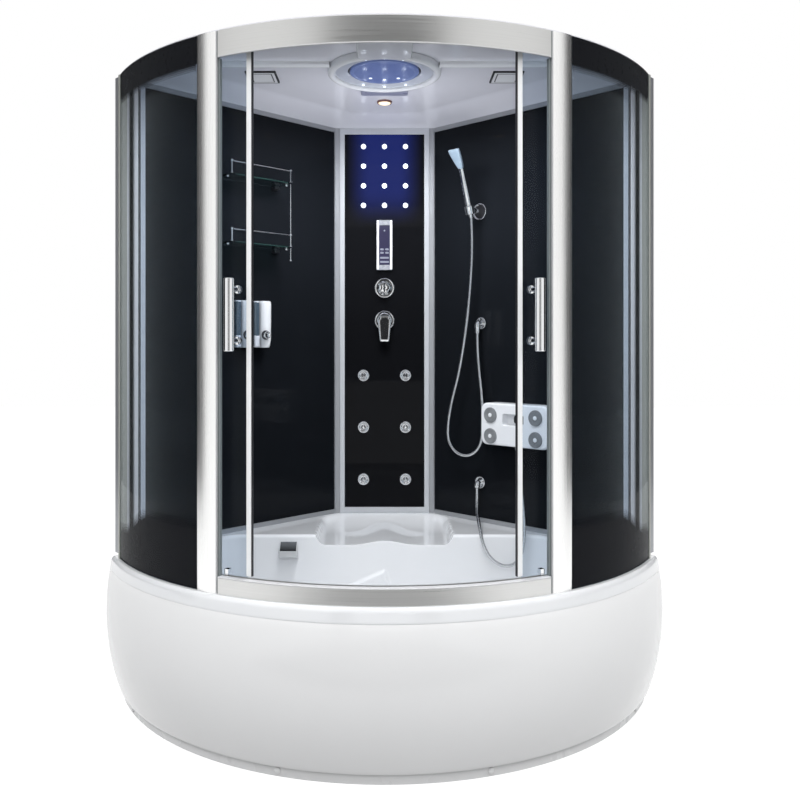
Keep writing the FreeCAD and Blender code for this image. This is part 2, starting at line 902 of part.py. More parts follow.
def hangers():
    solids = []
    head = door_radius - 2 * glass
    end = wheel_outer + washer_depth
    collar = axle_radius + washer_depth
    for angle in wheel_angles:
        solids.append(fused([
            radial(angle, wheel_z, head, end, axle_radius),
            radial(angle, wheel_z, head, door_radius - glass - fit, wheel_radius),
            radial(angle, wheel_z, door_radius + fit, wheel_inner - fit, collar),
            radial(angle, wheel_z, wheel_outer + fit, end, collar),
        ]))
    groove_center = (groove_inner + groove_outer) / 2
    half = math.degrees(guide_width / 2 / door_radius)
    foot_bottom = rail_top + guide_gap
    pin_bottom = rail_top - groove_depth + guide_gap
    for angle in guide_angles:
        foot = sector(door_radius + fit, groove_outer, angle - half, angle + half,
                      foot_bottom, rail_top + guide_rise)
        pin_top = at(groove_center, angle, rail_top + groove_depth)
        pin = rod(at(groove_center, angle, pin_bottom), pin_top, guide_pin)
        solids.append(foot.fuse(pin))
    return solids


save_pair("door_glass", door_glass())
save_pair("door_handle", door_handle())
save_pair("door_seal", door_seal())
save("door_hangers_right", *hangers())
save("door_hangers_left", *[mirrored(solid) for solid in hangers()])
for place, wheel_angle in zip(("front", "rear"), wheel_angles):
    save_pair("door_wheel_" + place, wheel(wheel_angle))


# Column fittings, from the lights down to the jets
def control_unit():
    z0 = control_z - control_length / 2
    body = column_block(-control_half, control_half, 0, control_depth, z0, z0 + control_length)
    side = control_half - screen_half
    floor = control_depth - screen_recess
    recess = column_block(-screen_half, screen_half, floor, 2 * control_depth,
                          z0 + 2 * side, z0 + control_length - side)
    screen = column_block(-screen_half, screen_half, floor, floor + screen_depth,
                          z0 + 2 * side, z0 + control_length - side)
    return body.cut(recess), screen


def washer(x, z, radius, depth, bore):
    return column_rod(x, z, 0, depth, radius).cut(column_rod(x, z, -fit, depth + fit, bore))


def escutcheons():
    plates = [washer(0, z, plate_radius, plate_depth, stem_radius + fit) for z in (diverter_z, mixer_z)]
    rings = [washer(x, z, jet_ring_radius, jet_ring_depth, jet_ball + 2 * fit)
             for x in (-jet_x, jet_x) for z in jet_rows]
    return plates + rings


stem_back = glass + 12.0
knob_start = plate_depth + fit


def diverter_knob():
    body = column_rod(0, diverter_z, knob_start, knob_start + diverter_depth, diverter_radius)
    front = knob_start + diverter_depth
    reach = diverter_radius - ridge_margin
    ridge = column_block(-ridge_half, ridge_half, front, front + ridge_rise,
                         diverter_z - reach, diverter_z + reach)
    return fused([body, ridge, column_rod(0, diverter_z, -stem_back, front, stem_radius)])


cap_front = knob_start + mixer_depth
pivot_off = cap_front + fit + lever_thickness / 2
pivot_z = mixer_z + lever_pivot


def mixer_cap():
    body = column_rod(0, mixer_z, knob_start, cap_front, mixer_radius)
    stem = column_rod(0, mixer_z, -stem_back, cap_front, stem_radius)
    shapes = [body, stem]
    ear_in = lever_half + fit
    for side in (-1, 1):
        x0, x1 = sorted((side * ear_in, side * (ear_in + ear_width)))
        shapes.append(column_block(x0, x1, knob_start, pivot_off + lever_thickness / 2,
                                   pivot_z - lever_thickness / 2, pivot_z + lever_thickness / 2))
    reach = ear_in + ear_width
    pin_ends = [plan(x, column_face - pivot_off, pivot_z) for x in (-reach, reach)]
    shapes.append(rod(*pin_ends, pin_radius))
    return fused(shapes)


def mixer_lever():
    half = lever_thickness / 2
    back = column_face - pivot_off + half
    steps = [(lever_half, 0), (lever_half, lever_thickness), (lever_shoulder, lever_thickness),
             (lever_tip, lever_length)]
    rim = [plan(x, back, pivot_z - drop) for x, drop in steps]
    rim += [plan(-x, back, pivot_z - drop) for x, drop in reversed(steps)]
    blade = polygon(rim).extrude(Vector(0, -lever_thickness, 0))
    ends = [plan(side * lever_half, column_face - pivot_off, pivot_z) for side in (-1, 1)]
    reach = Vector(ear_width, 0, 0)
    hole = rod(ends[0] - reach, ends[1] + reach, pin_radius + fit)
    return fused([blade, rod(ends[0], ends[1], half)]).cut(hole)


def nozzle(x, z):
    center = plan(x, column_face - jet_center, z)
    ball = Part.makeSphere(jet_ball, center)
    tip = cone(center, center - Vector(0, jet_tip, 0), jet_ball / 2, jet_ball / 3)
    return ball.fuse(tip)


lenses = [column_rod(x, z, 0, jet_center, lens_radius) for x in lens_columns for z in lens_rows]
save("led_lenses", *lenses)
save("control_unit", *control_unit())
save("escutcheons", *escutcheons())
save("diverter_knob", diverter_knob())
save("mixer_cap", mixer_cap())
save("mixer_lever", mixer_lever())
jet_places = [(x, z) for z in jet_rows for x in (-jet_x, jet_x)]
for index, (x, z) in enumerate(jet_places):
    save("jet_nozzle_%d" % (index + 1), nozzle(x, z))


# Behind the column: a riser pipe, two valve bodies, two inlets, and the power unit on the glass
def manifold():
    riser = rod(plan(0, pipe_back, deck_height), plan(0, pipe_back, roof_under - ring_height), pipe_radius)
    shapes = [riser]
    for z in (diverter_z, mixer_z):
        body = rod(plan(0, column_face + glass, z), plan(0, pipe_back, z), valve_radius)
        shapes.append(body)
    cross = [plan(x, pipe_back, inlet_z) for x in (-inlet_spacing, inlet_spacing)]
    shapes.append(rod(*cross, pipe_radius))
    for x in (-inlet_spacing, inlet_spacing):
        shoulder = plan(x, tub_back - inlet_length, inlet_z)
        shapes.append(rod(plan(x, pipe_back, inlet_z), shoulder, pipe_radius))
        shapes.append(rod(shoulder, plan(x, tub_back, inlet_z), inlet_radius))
    sockets = [rod(plan(0, column_face, z), plan(0, column_face + stem_back + fit, z), stem_radius + fit)
               for z in (diverter_z, mixer_z)]
    return fused(shapes).cut(sockets)


save("water_manifold", manifold())
save("power_unit", column_block(-power_half, power_half, -glass - power_depth, -glass,
                                power_bottom, power_bottom + power_height))


# Handset: a leaning handle in a cradle, bent further out at the neck to a flared head
def lean(length):
    tilt = math.radians(handset_tilt)
    return wall_point(holder_along, holder_off + length * math.sin(tilt), holder_z + length * math.cos(tilt))


def head_wire(length, width, depth):
    tilt = math.radians(head_tilt)
    lead = math.radians(handset_tilt)
    off = holder_off + handset_neck * math.sin(lead) + length * math.sin(tilt)
    z = holder_z + handset_neck * math.cos(lead) + length * math.cos(tilt)
    points = []
    for s, n in ((-1, -1), (1, -1), (1, 1), (-1, 1)):
        rise = n * depth / 2
        along = holder_along + s * width / 2
        points.append(wall_point(along, off + rise * math.cos(tilt), z - rise * math.sin(tilt)))
    return Part.makePolygon(points + points[:1])


def hand_shower():
    tail = cone(lean(handset_nut / 2 - handset_tail), lean(0), tail_radius, handset_radius - 1)
    way = shower_route[1] - shower_route[0]
    way.normalize()
    nut = rod(shower_route[0], shower_route[0] - way * handset_nut, tail_radius)
    grip = cone(lean(0), lean(handset_neck / 3), handset_radius - 1, handset_radius)
    shaft = cone(lean(handset_neck / 3), lean(handset_neck), handset_radius, neck_radius)
    neck = Part.makeSphere(neck_radius, lean(handset_neck))
    wires = [head_wire(0, head_root, head_root), head_wire(head_length, head_width, head_depth)]
    head = Part.makeLoft(wires, True, True)
    return fused([tail, nut, grip, shaft, neck, head])


def holder():
    foot = wall_point(holder_along, 0, holder_z)
    plate = rod(foot, wall_point(holder_along, holder_plate, holder_z), holder_flange)
    arm = rod(foot, wall_point(holder_along, holder_off, holder_z), elbow_radius)
    half = cradle_length / 2
    cradle = rod(lean(-half), lean(half), cradle_radius)
    bore = rod(lean(-2 * half), lean(2 * half), handset_radius + fit)
    return fused([plate, arm, cradle]).cut(bore)


# Hose fittings: a wall plate, a stub and an outlet that points down
def elbow(along, off, z, drop):
    plate = rod(wall_point(along, 0, z), wall_point(along, elbow_flange, z), elbow_plate)
    stub = rod(wall_point(along, 0, z), wall_point(along, off, z), elbow_radius)
    ball = Part.makeSphere(elbow_radius, wall_point(along, off, z))
    end = wall_point(along, off, z - drop)
    outlet = cone(end, wall_point(along, off, z), hose_radius + outlet_lip, elbow_radius)
    return fused([plate, stub, ball, outlet])


# A hose follows straight runs joined by tangent arcs, each as large as its two runs allow
def hose_path(points):
    edges = []
    radii = []
    start = points[0]
    for before, corner, after in zip(points, points[1:], points[2:]):
        first = corner - before
        second = after - corner
        shorter = min(first.Length, second.Length)
        half = first.getAngle(second) / 2
        cut = 0.45 * shorter
        radius = cut / math.tan(half)
        radii.append(radius)
        first.normalize()
        second.normalize()
        inward = second - first
        inward.normalize()
        a = corner - first * cut
        b = corner + inward * (radius / math.cos(half) - radius)
        c = corner + second * cut
        edges += [line(start, a), arc(a, b, c)]
        start = c
    edges.append(line(start, points[-1]))
    return Part.Wire(edges), radii


def hose(name, points):
    path, radii = hose_path(points)
    way = points[1] - points[0]
    tubes = []
    for radius in (hose_radius, hose_bore):
        ring = Part.Wire(Part.makeCircle(radius, points[0], way))
        tubes.append(path.makePipeShell([ring], True, False))
    solid = tubes[0].cut(tubes[1])
    section = math.pi * (hose_radius**2 - hose_bore**2)
    print(name, "length %.0f, least radius %.0f, volume ratio %.4f"
          % (path.Length, min(radii), solid.Volume / (section * path.Length)))
    print(name, "radii", " ".join("%.0f" % radius for radius in radii))
    return solid


hose_end = elbow_z - elbow_drop
hose_start = low_elbow_z - low_elbow_drop
shower_route = [lean(-handset_tail)] + [wall_point(*p) for p in (
    (262, 50, 1712), (256, 48, 1592), (243, 50, 1442), (221, 52, 1292), (191, 53, 1152), (152, 53, 1037),
    (132, 52, 947), (130, 51, 881), (152, 49, 840), (192, 47, 817), (238, 44, 816), (278, 40, 840),
    (300, 36, 880), (303, 32, 960), (296, 29.5, 1060), (281, 28, 1165),
)] + [wall_point(elbow_along, elbow_off, z) for z in (hose_end - hose_lead, hose_end)]
massage_heights = (hose_start, hose_start - low_hose_lead)
massage_route = [wall_point(low_elbow_along, low_elbow_off, z) for z in massage_heights]
massage_route += [plan(*p) for p in (
    (382, 6, 615), (379, -30, 597), (375, -75, 589), (372, -126, 584), (369, -182, 574), (371, -226, 544),
    (381, -240, 502), (404, -240, 461), (439, -239, 434), (472, -237, 426), (503, -235, 436),
    (525, -231, 464), (537, -226, 512), (540, -219, 578), (537, -209, 650), (532, -193, 724),
    (527, -174, 790), (524, -165, 842),
)]


# Massage panel: a rounded box on the wall with a grip recess and a nipple for its hose
def massage_panel():
    body = wall_block(panel_start, panel_end, 0, panel_depth, panel_bottom, panel_top)
    off_wall = wall_point(0, 1, 0) - wall_point(0, 0, 0)
    corners = [edge for edge in body.Edges if edge.tangentAt(0).cross(off_wall).Length < fit]
    body = body.makeFillet(panel_corner, corners)
    grip = wall_block(grip_start, grip_end, panel_depth - grip_depth, 2 * panel_depth, grip_bottom, grip_top)
    end = massage_route[-1]
    way = end - massage_route[-2]
    way.normalize()
    return fused([body.cut(grip), rod(end, end + way * nipple_length, nipple_radius)])


def massage_pads():
    return [rod(wall_point(along, panel_depth, z), wall_point(along, panel_depth + pad_depth, z), pad_radius)
            for along in pad_along for z in pad_rows]


save("hand_shower", hand_shower())
save("handset_holder", holder())
save("hose_elbows", elbow(elbow_along, elbow_off, elbow_z, elbow_drop),
     elbow(low_elbow_along, low_elbow_off, low_elbow_z, low_elbow_drop))
save("shower_hose", hose("shower_hose", shower_route))
save("massage_hose", hose("massage_hose", massage_route))
save("massage_panel", massage_panel())
save("massage_pads", *massage_pads())


# Left wall, built on the right wall and mirrored: glass shelves in a chrome rack, and soap dispensers
def shelf_plates():
    return [mirrored(wall_block(shelf_start, shelf_end, 0, shelf_depth, z, z + glass)) for z in shelf_levels]


def shelf_rack():
    front = shelf_depth - rack_margin
    ends = (shelf_start + rack_margin, shelf_end - rack_margin)
    solids = []
    for z in shelf_levels:
        top = z + glass + shelf_rise
        rails = [rod(wall_point(ends[0], front, top), wall_point(ends[1], front, top), rack_radius)]
        for along in ends:
            rails.append(rod(wall_point(along, front, z + glass), wall_point(along, front, top), rack_radius))
            rails.append(Part.makeSphere(rack_radius, wall_point(along, front, top)))
        solids.append(fused(rails))
        for along in ends:
            solids.append(wall_block(along - rack_margin, along + bracket_length, 0, bracket_length,
                                     z - bracket_height, z))
    high, low = shelf_levels
    solids.append(rod(wall_point(ends[0], front, low + glass + shelf_rise + rack_radius),
                      wall_point(ends[0], front, high), rack_radius))
    foot = wall_point(ends[0], front, low - rod_below)
    solids.append(rod(foot, wall_point(ends[0], front, low), rack_radius))
    return [mirrored(solid) for solid in solids]


soap_centers = [soap_start + soap_width / 2 + index * (soap_width + soap_gap) for index in (0, 1)]


def soap_dispenser(center):
    body = wall_block(center - soap_width / 2, center + soap_width / 2, 0, soap_depth,
                      soap_bottom, soap_bottom + soap_height)
    bore = rod(wall_point(center, soap_depth - 3 * button_travel, button_z),
               wall_point(center, 2 * soap_depth, button_z), button_radius + fit)
    return mirrored(body.cut(bore))


def soap_button(center):
    return mirrored(rod(wall_point(center, soap_depth - button_travel, button_z),
                        wall_point(center, soap_depth + button_proud, button_z), button_radius))


save("shelf_plates", *shelf_plates())
save("shelf_rack", *shelf_rack())
save("soap_dispensers", *[soap_dispenser(center) for center in soap_centers])
for name, center in zip(("right", "left"), soap_centers):
    save("dispenser_button_" + name, soap_button(center))
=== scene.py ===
import math

import bmesh
import bpy
import numpy as np
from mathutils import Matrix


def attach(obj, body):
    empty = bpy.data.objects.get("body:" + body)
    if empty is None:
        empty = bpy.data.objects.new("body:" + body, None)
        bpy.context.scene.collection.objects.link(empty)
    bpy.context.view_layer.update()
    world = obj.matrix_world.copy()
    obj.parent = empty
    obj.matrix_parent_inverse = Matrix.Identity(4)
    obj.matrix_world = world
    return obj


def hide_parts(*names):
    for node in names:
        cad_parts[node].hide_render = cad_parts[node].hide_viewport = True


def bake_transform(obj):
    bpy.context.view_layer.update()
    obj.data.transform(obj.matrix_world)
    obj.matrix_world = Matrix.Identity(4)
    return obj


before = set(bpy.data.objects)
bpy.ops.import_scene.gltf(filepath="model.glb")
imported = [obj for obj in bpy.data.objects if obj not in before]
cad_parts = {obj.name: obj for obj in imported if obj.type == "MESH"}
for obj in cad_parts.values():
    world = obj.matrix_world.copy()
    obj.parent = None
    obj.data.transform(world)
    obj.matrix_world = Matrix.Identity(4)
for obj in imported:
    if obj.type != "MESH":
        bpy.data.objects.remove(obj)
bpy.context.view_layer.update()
print("frame loaded:", len(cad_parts), "nodes")

# levels and plan of the cabin in metres: the front is an arc, the walls stand at 45 degrees to it
cabin = {
    "axisY": 0.362, "rail": 1.067, "wallDistance": 0.312, "columnFace": 0.228, "wallDepth": 0.034,
    "ledge": 0.527, "deck": 0.540, "railTop": 0.579, "headerLow": 2.143, "headerTop": 2.225, "roof": 2.252,
    "postStart": 28.5, "postEnd": 32.75, "jambStart": 60.7, "middle": (0, -0.35),
}
root2 = math.sqrt(2)
cabin["columnHalf"] = cabin["wallDistance"] * root2 - cabin["columnFace"]
sides = ((1, "right"), (-1, "left"))
up, down, forward = (0, 0, 1), (0, 0, -1), (0, -1, 0)


# places: plain coordinates, along the front arc, along a wall (side 1 is right) and on the column
def xyz(x, y, z):
    return np.stack(np.broadcast_arrays(x, y, z), axis=-1).astype(float)


def onPlan(x, back, z):
    return xyz(x, cabin["axisY"] + np.asarray(back), z)


def onArc(radius, degrees, z):
    turn = np.radians(degrees)
    return xyz(radius * np.sin(turn), cabin["axisY"] - radius * np.cos(turn), z)


def onWall(side, along, off, z):
    along, off = np.asarray(along, float), np.asarray(off, float)
    x = side * (cabin["columnHalf"] + (along - off) / root2)
    return onPlan(x, cabin["columnFace"] - (along + off) / root2, z)


def onColumn(x, off, z):
    return onPlan(x, cabin["columnFace"] - np.asarray(off), z)


# the same with the depth last, for outlines raised from the column or from a wall
def offColumn(x, z, off):
    return onColumn(x, off, z)


def offWall(side):
    return lambda along, z, off: onWall(side, along, off, z)


def wallOut(side):
    return onWall(side, 0, 1, 0) - onWall(side, 0, 0, 0)


def arcOut(angle):
    return onArc(1, angle, 0) - onArc(0, 0, 0)


def ease(low, high, value):  # smooth step from 0 at low to 1 at high
    share = np.clip((value - low) / (high - low), 0, 1)
    return share * share * (3 - 2 * share)


def softLow(first, second, width):  # the lower of two heights with a rounded crossing
    share = np.clip(0.5 + 0.5 * (second - first) / width, 0, 1)
    return second * (1 - share) + first * share - width * share * (1 - share)


def signedPower(value, power):
    return np.sign(value) * np.abs(value) ** power


def turns(steps):
    return np.linspace(0, 2 * math.pi, steps, endpoint=False)


def scaled(outline, share):  # outline grown or shrunk about its middle
    middle = outline.mean(0)
    return middle + (outline - middle) * share


# part of a circle, or of an ellipse with its own rise, between two angles in degrees
def bow(u, v, reach, first, last, steps, rise=None):
    t = np.linspace(math.radians(first), math.radians(last), steps)
    return np.c_[u + reach * np.cos(t), v + (reach if rise is None else rise) * np.sin(t)]


# closed outline whose corners become arcs, each tangent to its two sides
def softLoop(corners, radius, steps=5):
    p = np.asarray(corners, float)
    before, after = np.roll(p, 1, 0) - p, np.roll(p, -1, 0) - p
    lengths = np.minimum(np.linalg.norm(before, axis=1), np.linalg.norm(after, axis=1))
    u = before / np.linalg.norm(before, axis=1)[:, None]
    v = after / np.linalg.norm(after, axis=1)[:, None]
    half = np.arccos(np.clip((u * v).sum(1), -0.9999, 0.9999)) / 2
    cut = np.minimum(np.broadcast_to(radius, half.shape) / np.tan(half), 0.47 * lengths)
    way = (u + v) / np.linalg.norm(u + v, axis=1)[:, None]
    middle = p + way * (cut / np.cos(half))[:, None]
    a, b = p + u * cut[:, None] - middle, p + v * cut[:, None] - middle
    swing = (math.pi - 2 * half)[:, None]
    t = np.linspace(0, 1, steps + 1)[None, :]
    near, far = np.sin((1 - t) * swing) / np.sin(swing), np.sin(t * swing) / np.sin(swing)
    return (middle[:, None] + near[..., None] * a[:, None] + far[..., None] * b[:, None]).reshape(-1, 2)


def softBox(u0, u1, v0, v1, radius, steps=6):
    return softLoop([(u0, v0), (u1, v0), (u1, v1), (u0, v1)], radius, steps)


def softRect(width, height, radius, steps=6):
    return softBox(-width / 2, width / 2, -height / 2, height / 2, radius, steps)


# outline of angle and radius, with a degree counted as an arc of unit radius
def softPlan(corners, radius, steps):
    scale = (math.radians(1), 1)
    return softLoop(np.array(corners) * scale, radius, steps) / scale


# where rays from the cabin's middle meet the front arc, a wall line or the back line
def planLoop(way, radius, margin, back):
    middle = np.array(cabin["middle"])
    along = way @ middle
    reach = -along + np.sqrt(along ** 2 - middle @ middle + radius ** 2)
    wall = (cabin["wallDistance"] + margin) * root2
    for lead, line in ((np.abs(way[:, 0]) + way[:, 1], wall), (way[:, 1], back)):
        reach = np.minimum(reach, np.where(lead > 1e-6, (line - middle[1]) / np.maximum(lead, 1e-6), 9))
    return middle + way * reach[:, None]


# a patch is a grid of points: rows or columns may wrap round, and open ends of a tube get a cap
def patch(points, rows=False, columns=False, caps=False):
    return {"points": np.asarray(points, float), "rows": rows, "columns": columns, "caps": caps}


def tube(points):
    return patch(points, columns=True, caps=True)


def gridFaces(rows, columns, wrapRows, wrapColumns):
    r = np.arange(rows if wrapRows else rows - 1)[:, None]
    c = np.arange(columns if wrapColumns else columns - 1)[None, :]
    low, high = r * columns, ((r + 1) % rows) * columns
    return np.stack([low + c, low + (c + 1) % columns, high + (c + 1) % columns, high + c], -1).reshape(-1, 4)


def finishMesh(mesh, crease):
    work = bmesh.new()
    work.from_mesh(mesh)
    bmesh.ops.remove_doubles(work, verts=work.verts, dist=2e-6)
    bmesh.ops.dissolve_degenerate(work, edges=work.edges, dist=1e-6)
    bmesh.ops.recalc_face_normals(work, faces=work.faces)
    work.to_mesh(mesh)
    work.free()
    mesh.shade_smooth()
    mesh.set_sharp_from_angle(angle=math.radians(crease))


def addObject(name, mesh, look, nodes=(), body="cabin", ride=True):
    piece = bpy.data.objects.new(name, mesh)
    bpy.context.collection.objects.link(piece)
    mesh.materials.append(finish[look])
    if ride:
        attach(piece, body)
    if nodes:
        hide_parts(*nodes)
    return piece


# piece from patches, with the look's name, the material slot and the solid that it replaces
def addPiece(name, patches, look, node=None, body="cabin", crease=35, ride=True):
    verts, faces, start = [], [], 0
    for part in patches:
        rows, columns = part["points"].shape[:2]
        verts.append(part["points"].reshape(-1, 3))
        faces += (gridFaces(rows, columns, part["rows"], part["columns"]) + start).tolist()
        if part["caps"]:
            faces.append(list(range(start + columns - 1, start - 1, -1)))
            faces.append(list(range(start + (rows - 1) * columns, start + rows * columns)))
        start += rows * columns
    mesh = bpy.data.meshes.new(name)
    mesh.from_pydata(np.concatenate(verts).tolist(), [], faces)
    finishMesh(mesh, crease)
    piece = addObject(name, mesh, look, (node,) if node else (), body, ride)
    piece.modifiers.new("flatFaces", "WEIGHTED_NORMAL").keep_sharp = True
    return piece


# section of radius and height carried round the front arc, between two angles or up to the wall planes
def arcBar(section, first, last, steps=72):
    section = np.asarray(section, float)
    return tube(onArc(section[:, 0], np.linspace(first, last, steps + 1)[:, None], section[:, 1]))


def wallToWall(section, steps=150):
    ends = 45 + np.degrees(np.arcsin((cabin["wallDistance"] + cabin["wallDepth"]) / section[:, 0]))
    return tube(onArc(section[:, 0], np.linspace(-1, 1, steps + 1)[:, None] * ends, section[:, 1]))


# stack of outlines: each row is an outline at its own height, placed by a function of (u, v, height)
def stack(rows, place):
    return tube(np.stack([place(outline[:, 0], outline[:, 1], height) for outline, height in rows]))


# outline in plan (angle, radius) lifted from one height to another, with a small chamfer at both ends
def arcPost(outline, side, low, high, chamfer=0.0008):
    outline = np.asarray(outline, float) * (side, 1)
    end = scaled(outline, 0.96)
    rows = [(end, low), (outline, low + chamfer), (outline, high - chamfer), (end, high)]
    return stack(rows, lambda angle, radius, z: onArc(radius, angle, z))


# turned profile of radius and height about an axis from an origin
def turned(profile, origin, axis, steps=40, closed=False):
    profile = np.asarray(profile, float)
    if closed:
        profile = np.concatenate([profile, profile[:1]])
    axis = np.asarray(axis, float) / np.linalg.norm(axis)
    guide = np.array([1.0, 0, 0]) if abs(axis[0]) < 0.8 else np.array([0, 1.0, 0])
    first = np.cross(axis, guide)
    first /= np.linalg.norm(first)
    second = np.cross(axis, first)
    turn = turns(steps)[:, None, None]
    ring = np.cos(turn) * first + np.sin(turn) * second
    return patch(np.asarray(origin, float) + profile[:, 1:2] * axis + profile[:, 0:1] * ring, rows=True)


# profile of a rod or disc with rounded rims at both ends
def rodProfile(radius, length, low, high):
    return np.concatenate([[(0, 0)], bow(radius - low, low, low, -90, 0, 5),
                           bow(radius - high, length - high, high, 0, 90, 5), [(0, length)]])


def rod(start, end, radius, low=0.0012, high=0.0012, steps=32):
    way = np.asarray(end, float) - np.asarray(start, float)
    return turned(rodProfile(radius, np.linalg.norm(way), low, high), start, way, steps)


# domed button: a rod whose head is a shallow part of an ellipse
def dome(radius, height, rise, origin, axis, steps=40):
    profile = np.concatenate([[(0, 0), (radius * 0.98, 0), (radius, height * 0.1)],
                              bow(0, height, radius, 0, 90, 9, rise)])
    return turned(profile, origin, axis, steps)


# round tube along points, with its rings square to the path
def pipe(path, radius, steps, guide):
    path = np.asarray(path, float)
    way = np.gradient(path, axis=0)
    way /= np.linalg.norm(way, axis=1)[:, None]
    side = np.cross(np.asarray(guide, float), way)
    side /= np.linalg.norm(side, axis=1)[:, None]
    lift = np.cross(way, side)
    turn = turns(steps)[None, :, None]
    radius = np.broadcast_to(radius, (len(path), steps))[..., None]
    return tube(path[:, None] + radius * (np.cos(turn) * side[:, None] + np.sin(turn) * lift[:, None]))


# rounded slab: an outline raised with rounded edges on its front
def slabRows(outline, depth, edge, steps=4, start=0.0):
    reach = np.abs(outline - outline.mean(0)).max(0)
    rows = [(outline, start)]
    for angle in np.linspace(0, math.pi / 2, steps + 1):
        pull = edge * (1 - math.cos(angle))
        rows.append((scaled(outline, 1 - pull / reach), depth - edge + edge * math.sin(angle)))
    return rows


# materials: a socket takes a plain value or another node's output
def addNode(tree, kind, sockets=(), **settings):
    node = tree.nodes.new("ShaderNode" + kind)
    for label, value in settings.items():
        setattr(node, label, value)
    for label, value in dict(sockets).items():
        if isinstance(value, bpy.types.NodeSocket):
            tree.links.new(value, node.inputs[label])
        else:
            node.inputs[label].default_value = value
    return node


def mathNode(tree, operation, *values):
    return addNode(tree, "Math", enumerate(values), operation=operation).outputs[0]


def mixTone(tree, share, first, second):
    return addNode(tree, "Mix", {0: share, 6: first, 7: second}, data_type="RGBA").outputs[2]


def objectPlace(tree):
    place = addNode(tree, "TexCoord").outputs["Object"]
    return place, addNode(tree, "SeparateXYZ", {0: place}).outputs


# grain: stretched noise in plain coordinates or round the cabin's axis, giving tone, roughness and height
def grainGroup():
    group = bpy.data.node_groups.new("surfaceGrain", "ShaderNodeTree")
    grey = (0.5, 0.5, 0.5, 1)
    for label, kind, value in (("Round Axis", "Float", 0.0), ("Stretch", "Vector", (1, 1, 1)),
                               ("Scale", "Float", 5.0), ("Tone A", "Color", grey), ("Tone B", "Color", grey),
                               ("Rough Low", "Float", 0.2), ("Rough High", "Float", 0.3)):
        socket = group.interface.new_socket(name=label, in_out="INPUT", socket_type="NodeSocket" + kind)
        socket.default_value = value
    for label, kind in (("Color", "Color"), ("Roughness", "Float"), ("Height", "Float")):
        group.interface.new_socket(name=label, in_out="OUTPUT", socket_type="NodeSocket" + kind)
    given, result = group.nodes.new("NodeGroupInput").outputs, group.nodes.new("NodeGroupOutput").inputs
    place, (x, y, z) = objectPlace(group)
    reach = mathNode(group, "SUBTRACT", cabin["axisY"], y)
    squares = mathNode(group, "ADD", mathNode(group, "MULTIPLY", x, x), mathNode(group, "MULTIPLY", reach, reach))
    around = addNode(group, "CombineXYZ", {0: mathNode(group, "ARCTAN2", x, reach),
                                           1: mathNode(group, "SQRT", squares), 2: z})
    choose = addNode(group, "Mix", {0: given["Round Axis"], 4: place, 5: around.outputs[0]}, data_type="VECTOR")
    pull = addNode(group, "VectorMath", {0: choose.outputs[1], 1: given["Stretch"]}, operation="MULTIPLY")
    noise = addNode(group, "TexNoise", {"Vector": pull.outputs[0], "Scale": given["Scale"], "Detail": 4,
                                        "Roughness": 0.6}).outputs["Fac"]
    level = addNode(group, "MapRange", {"Value": noise, "From Min": 0.3, "From Max": 0.7,
                                        "To Min": given["Rough Low"], "To Max": given["Rough High"]})
    group.links.new(mixTone(group, noise, given["Tone A"], given["Tone B"]), result["Color"])
    group.links.new(level.outputs[0], result["Roughness"])
    group.links.new(noise, result["Height"])
    return group


grain = grainGroup()


def fullTone(tone):  # a grey from one number, or three numbers as they are, with full alpha
    return (*np.broadcast_to(tone, 3).tolist(), 1)


def surface(name, toneA, toneB, rough, scale=6.0, stretch=(1, 1, 1), roundAxis=0.0, bump=0.0, depth=0.0004,
            **plain):
    material = bpy.data.materials.new(name)
    material.use_nodes = True
    tree = material.node_tree
    shader = tree.nodes["Principled BSDF"]
    given = {"Round Axis": roundAxis, "Stretch": stretch, "Scale": scale, "Tone A": fullTone(toneA),
             "Tone B": fullTone(toneB), "Rough Low": rough[0], "Rough High": rough[1]}
    node = addNode(tree, "Group", given, node_tree=grain)
    tree.links.new(node.outputs["Color"], shader.inputs["Base Color"])
    tree.links.new(node.outputs["Roughness"], shader.inputs["Roughness"])
    if bump:
        relief = addNode(tree, "Bump", {"Strength": bump, "Distance": depth, "Height": node.outputs["Height"]})
        tree.links.new(relief.outputs[0], shader.inputs["Normal"])
    for label, value in plain.items():
        shader.inputs[label.replace("_", " ")].default_value = value
    return material


# brushed metal: fine lines round the cabin or upright, in a grain about the cabin's axis
def brushed(name, toneA, toneB, rough, metallic, lines=(420, 420, 2.5), bump=0.04):
    return surface(name, toneA, toneB, rough, 1.0, lines, 1.0, bump, 0.0002, Metallic=metallic)


# glass lets lamp light through on shadow rays, and bends the rest
def clearGlass(name, tone, edge, bend=1.30):
    material = surface(name, tone, edge, (0.0, 0.02), 3.0, Transmission_Weight=1.0, IOR=bend)
    tree, through = material.node_tree, 0.8
    clear = addNode(tree, "BsdfTransparent", {"Color": fullTone([through * c for c in tone])})
    shadow = addNode(tree, "LightPath").outputs["Is Shadow Ray"]
    mix = addNode(tree, "MixShader", {0: shadow, 1: tree.nodes["Principled BSDF"].outputs[0], 2: clear.outputs[0]})
    tree.links.new(mix.outputs[0], tree.nodes["Material Output"].inputs["Surface"])
    return material


def glowing(name, toneA, toneB, rough, light, strength, **plain):
    return surface(name, toneA, toneB, rough, 30.0, Emission_Color=(*light, 1), Emission_Strength=strength, **plain)


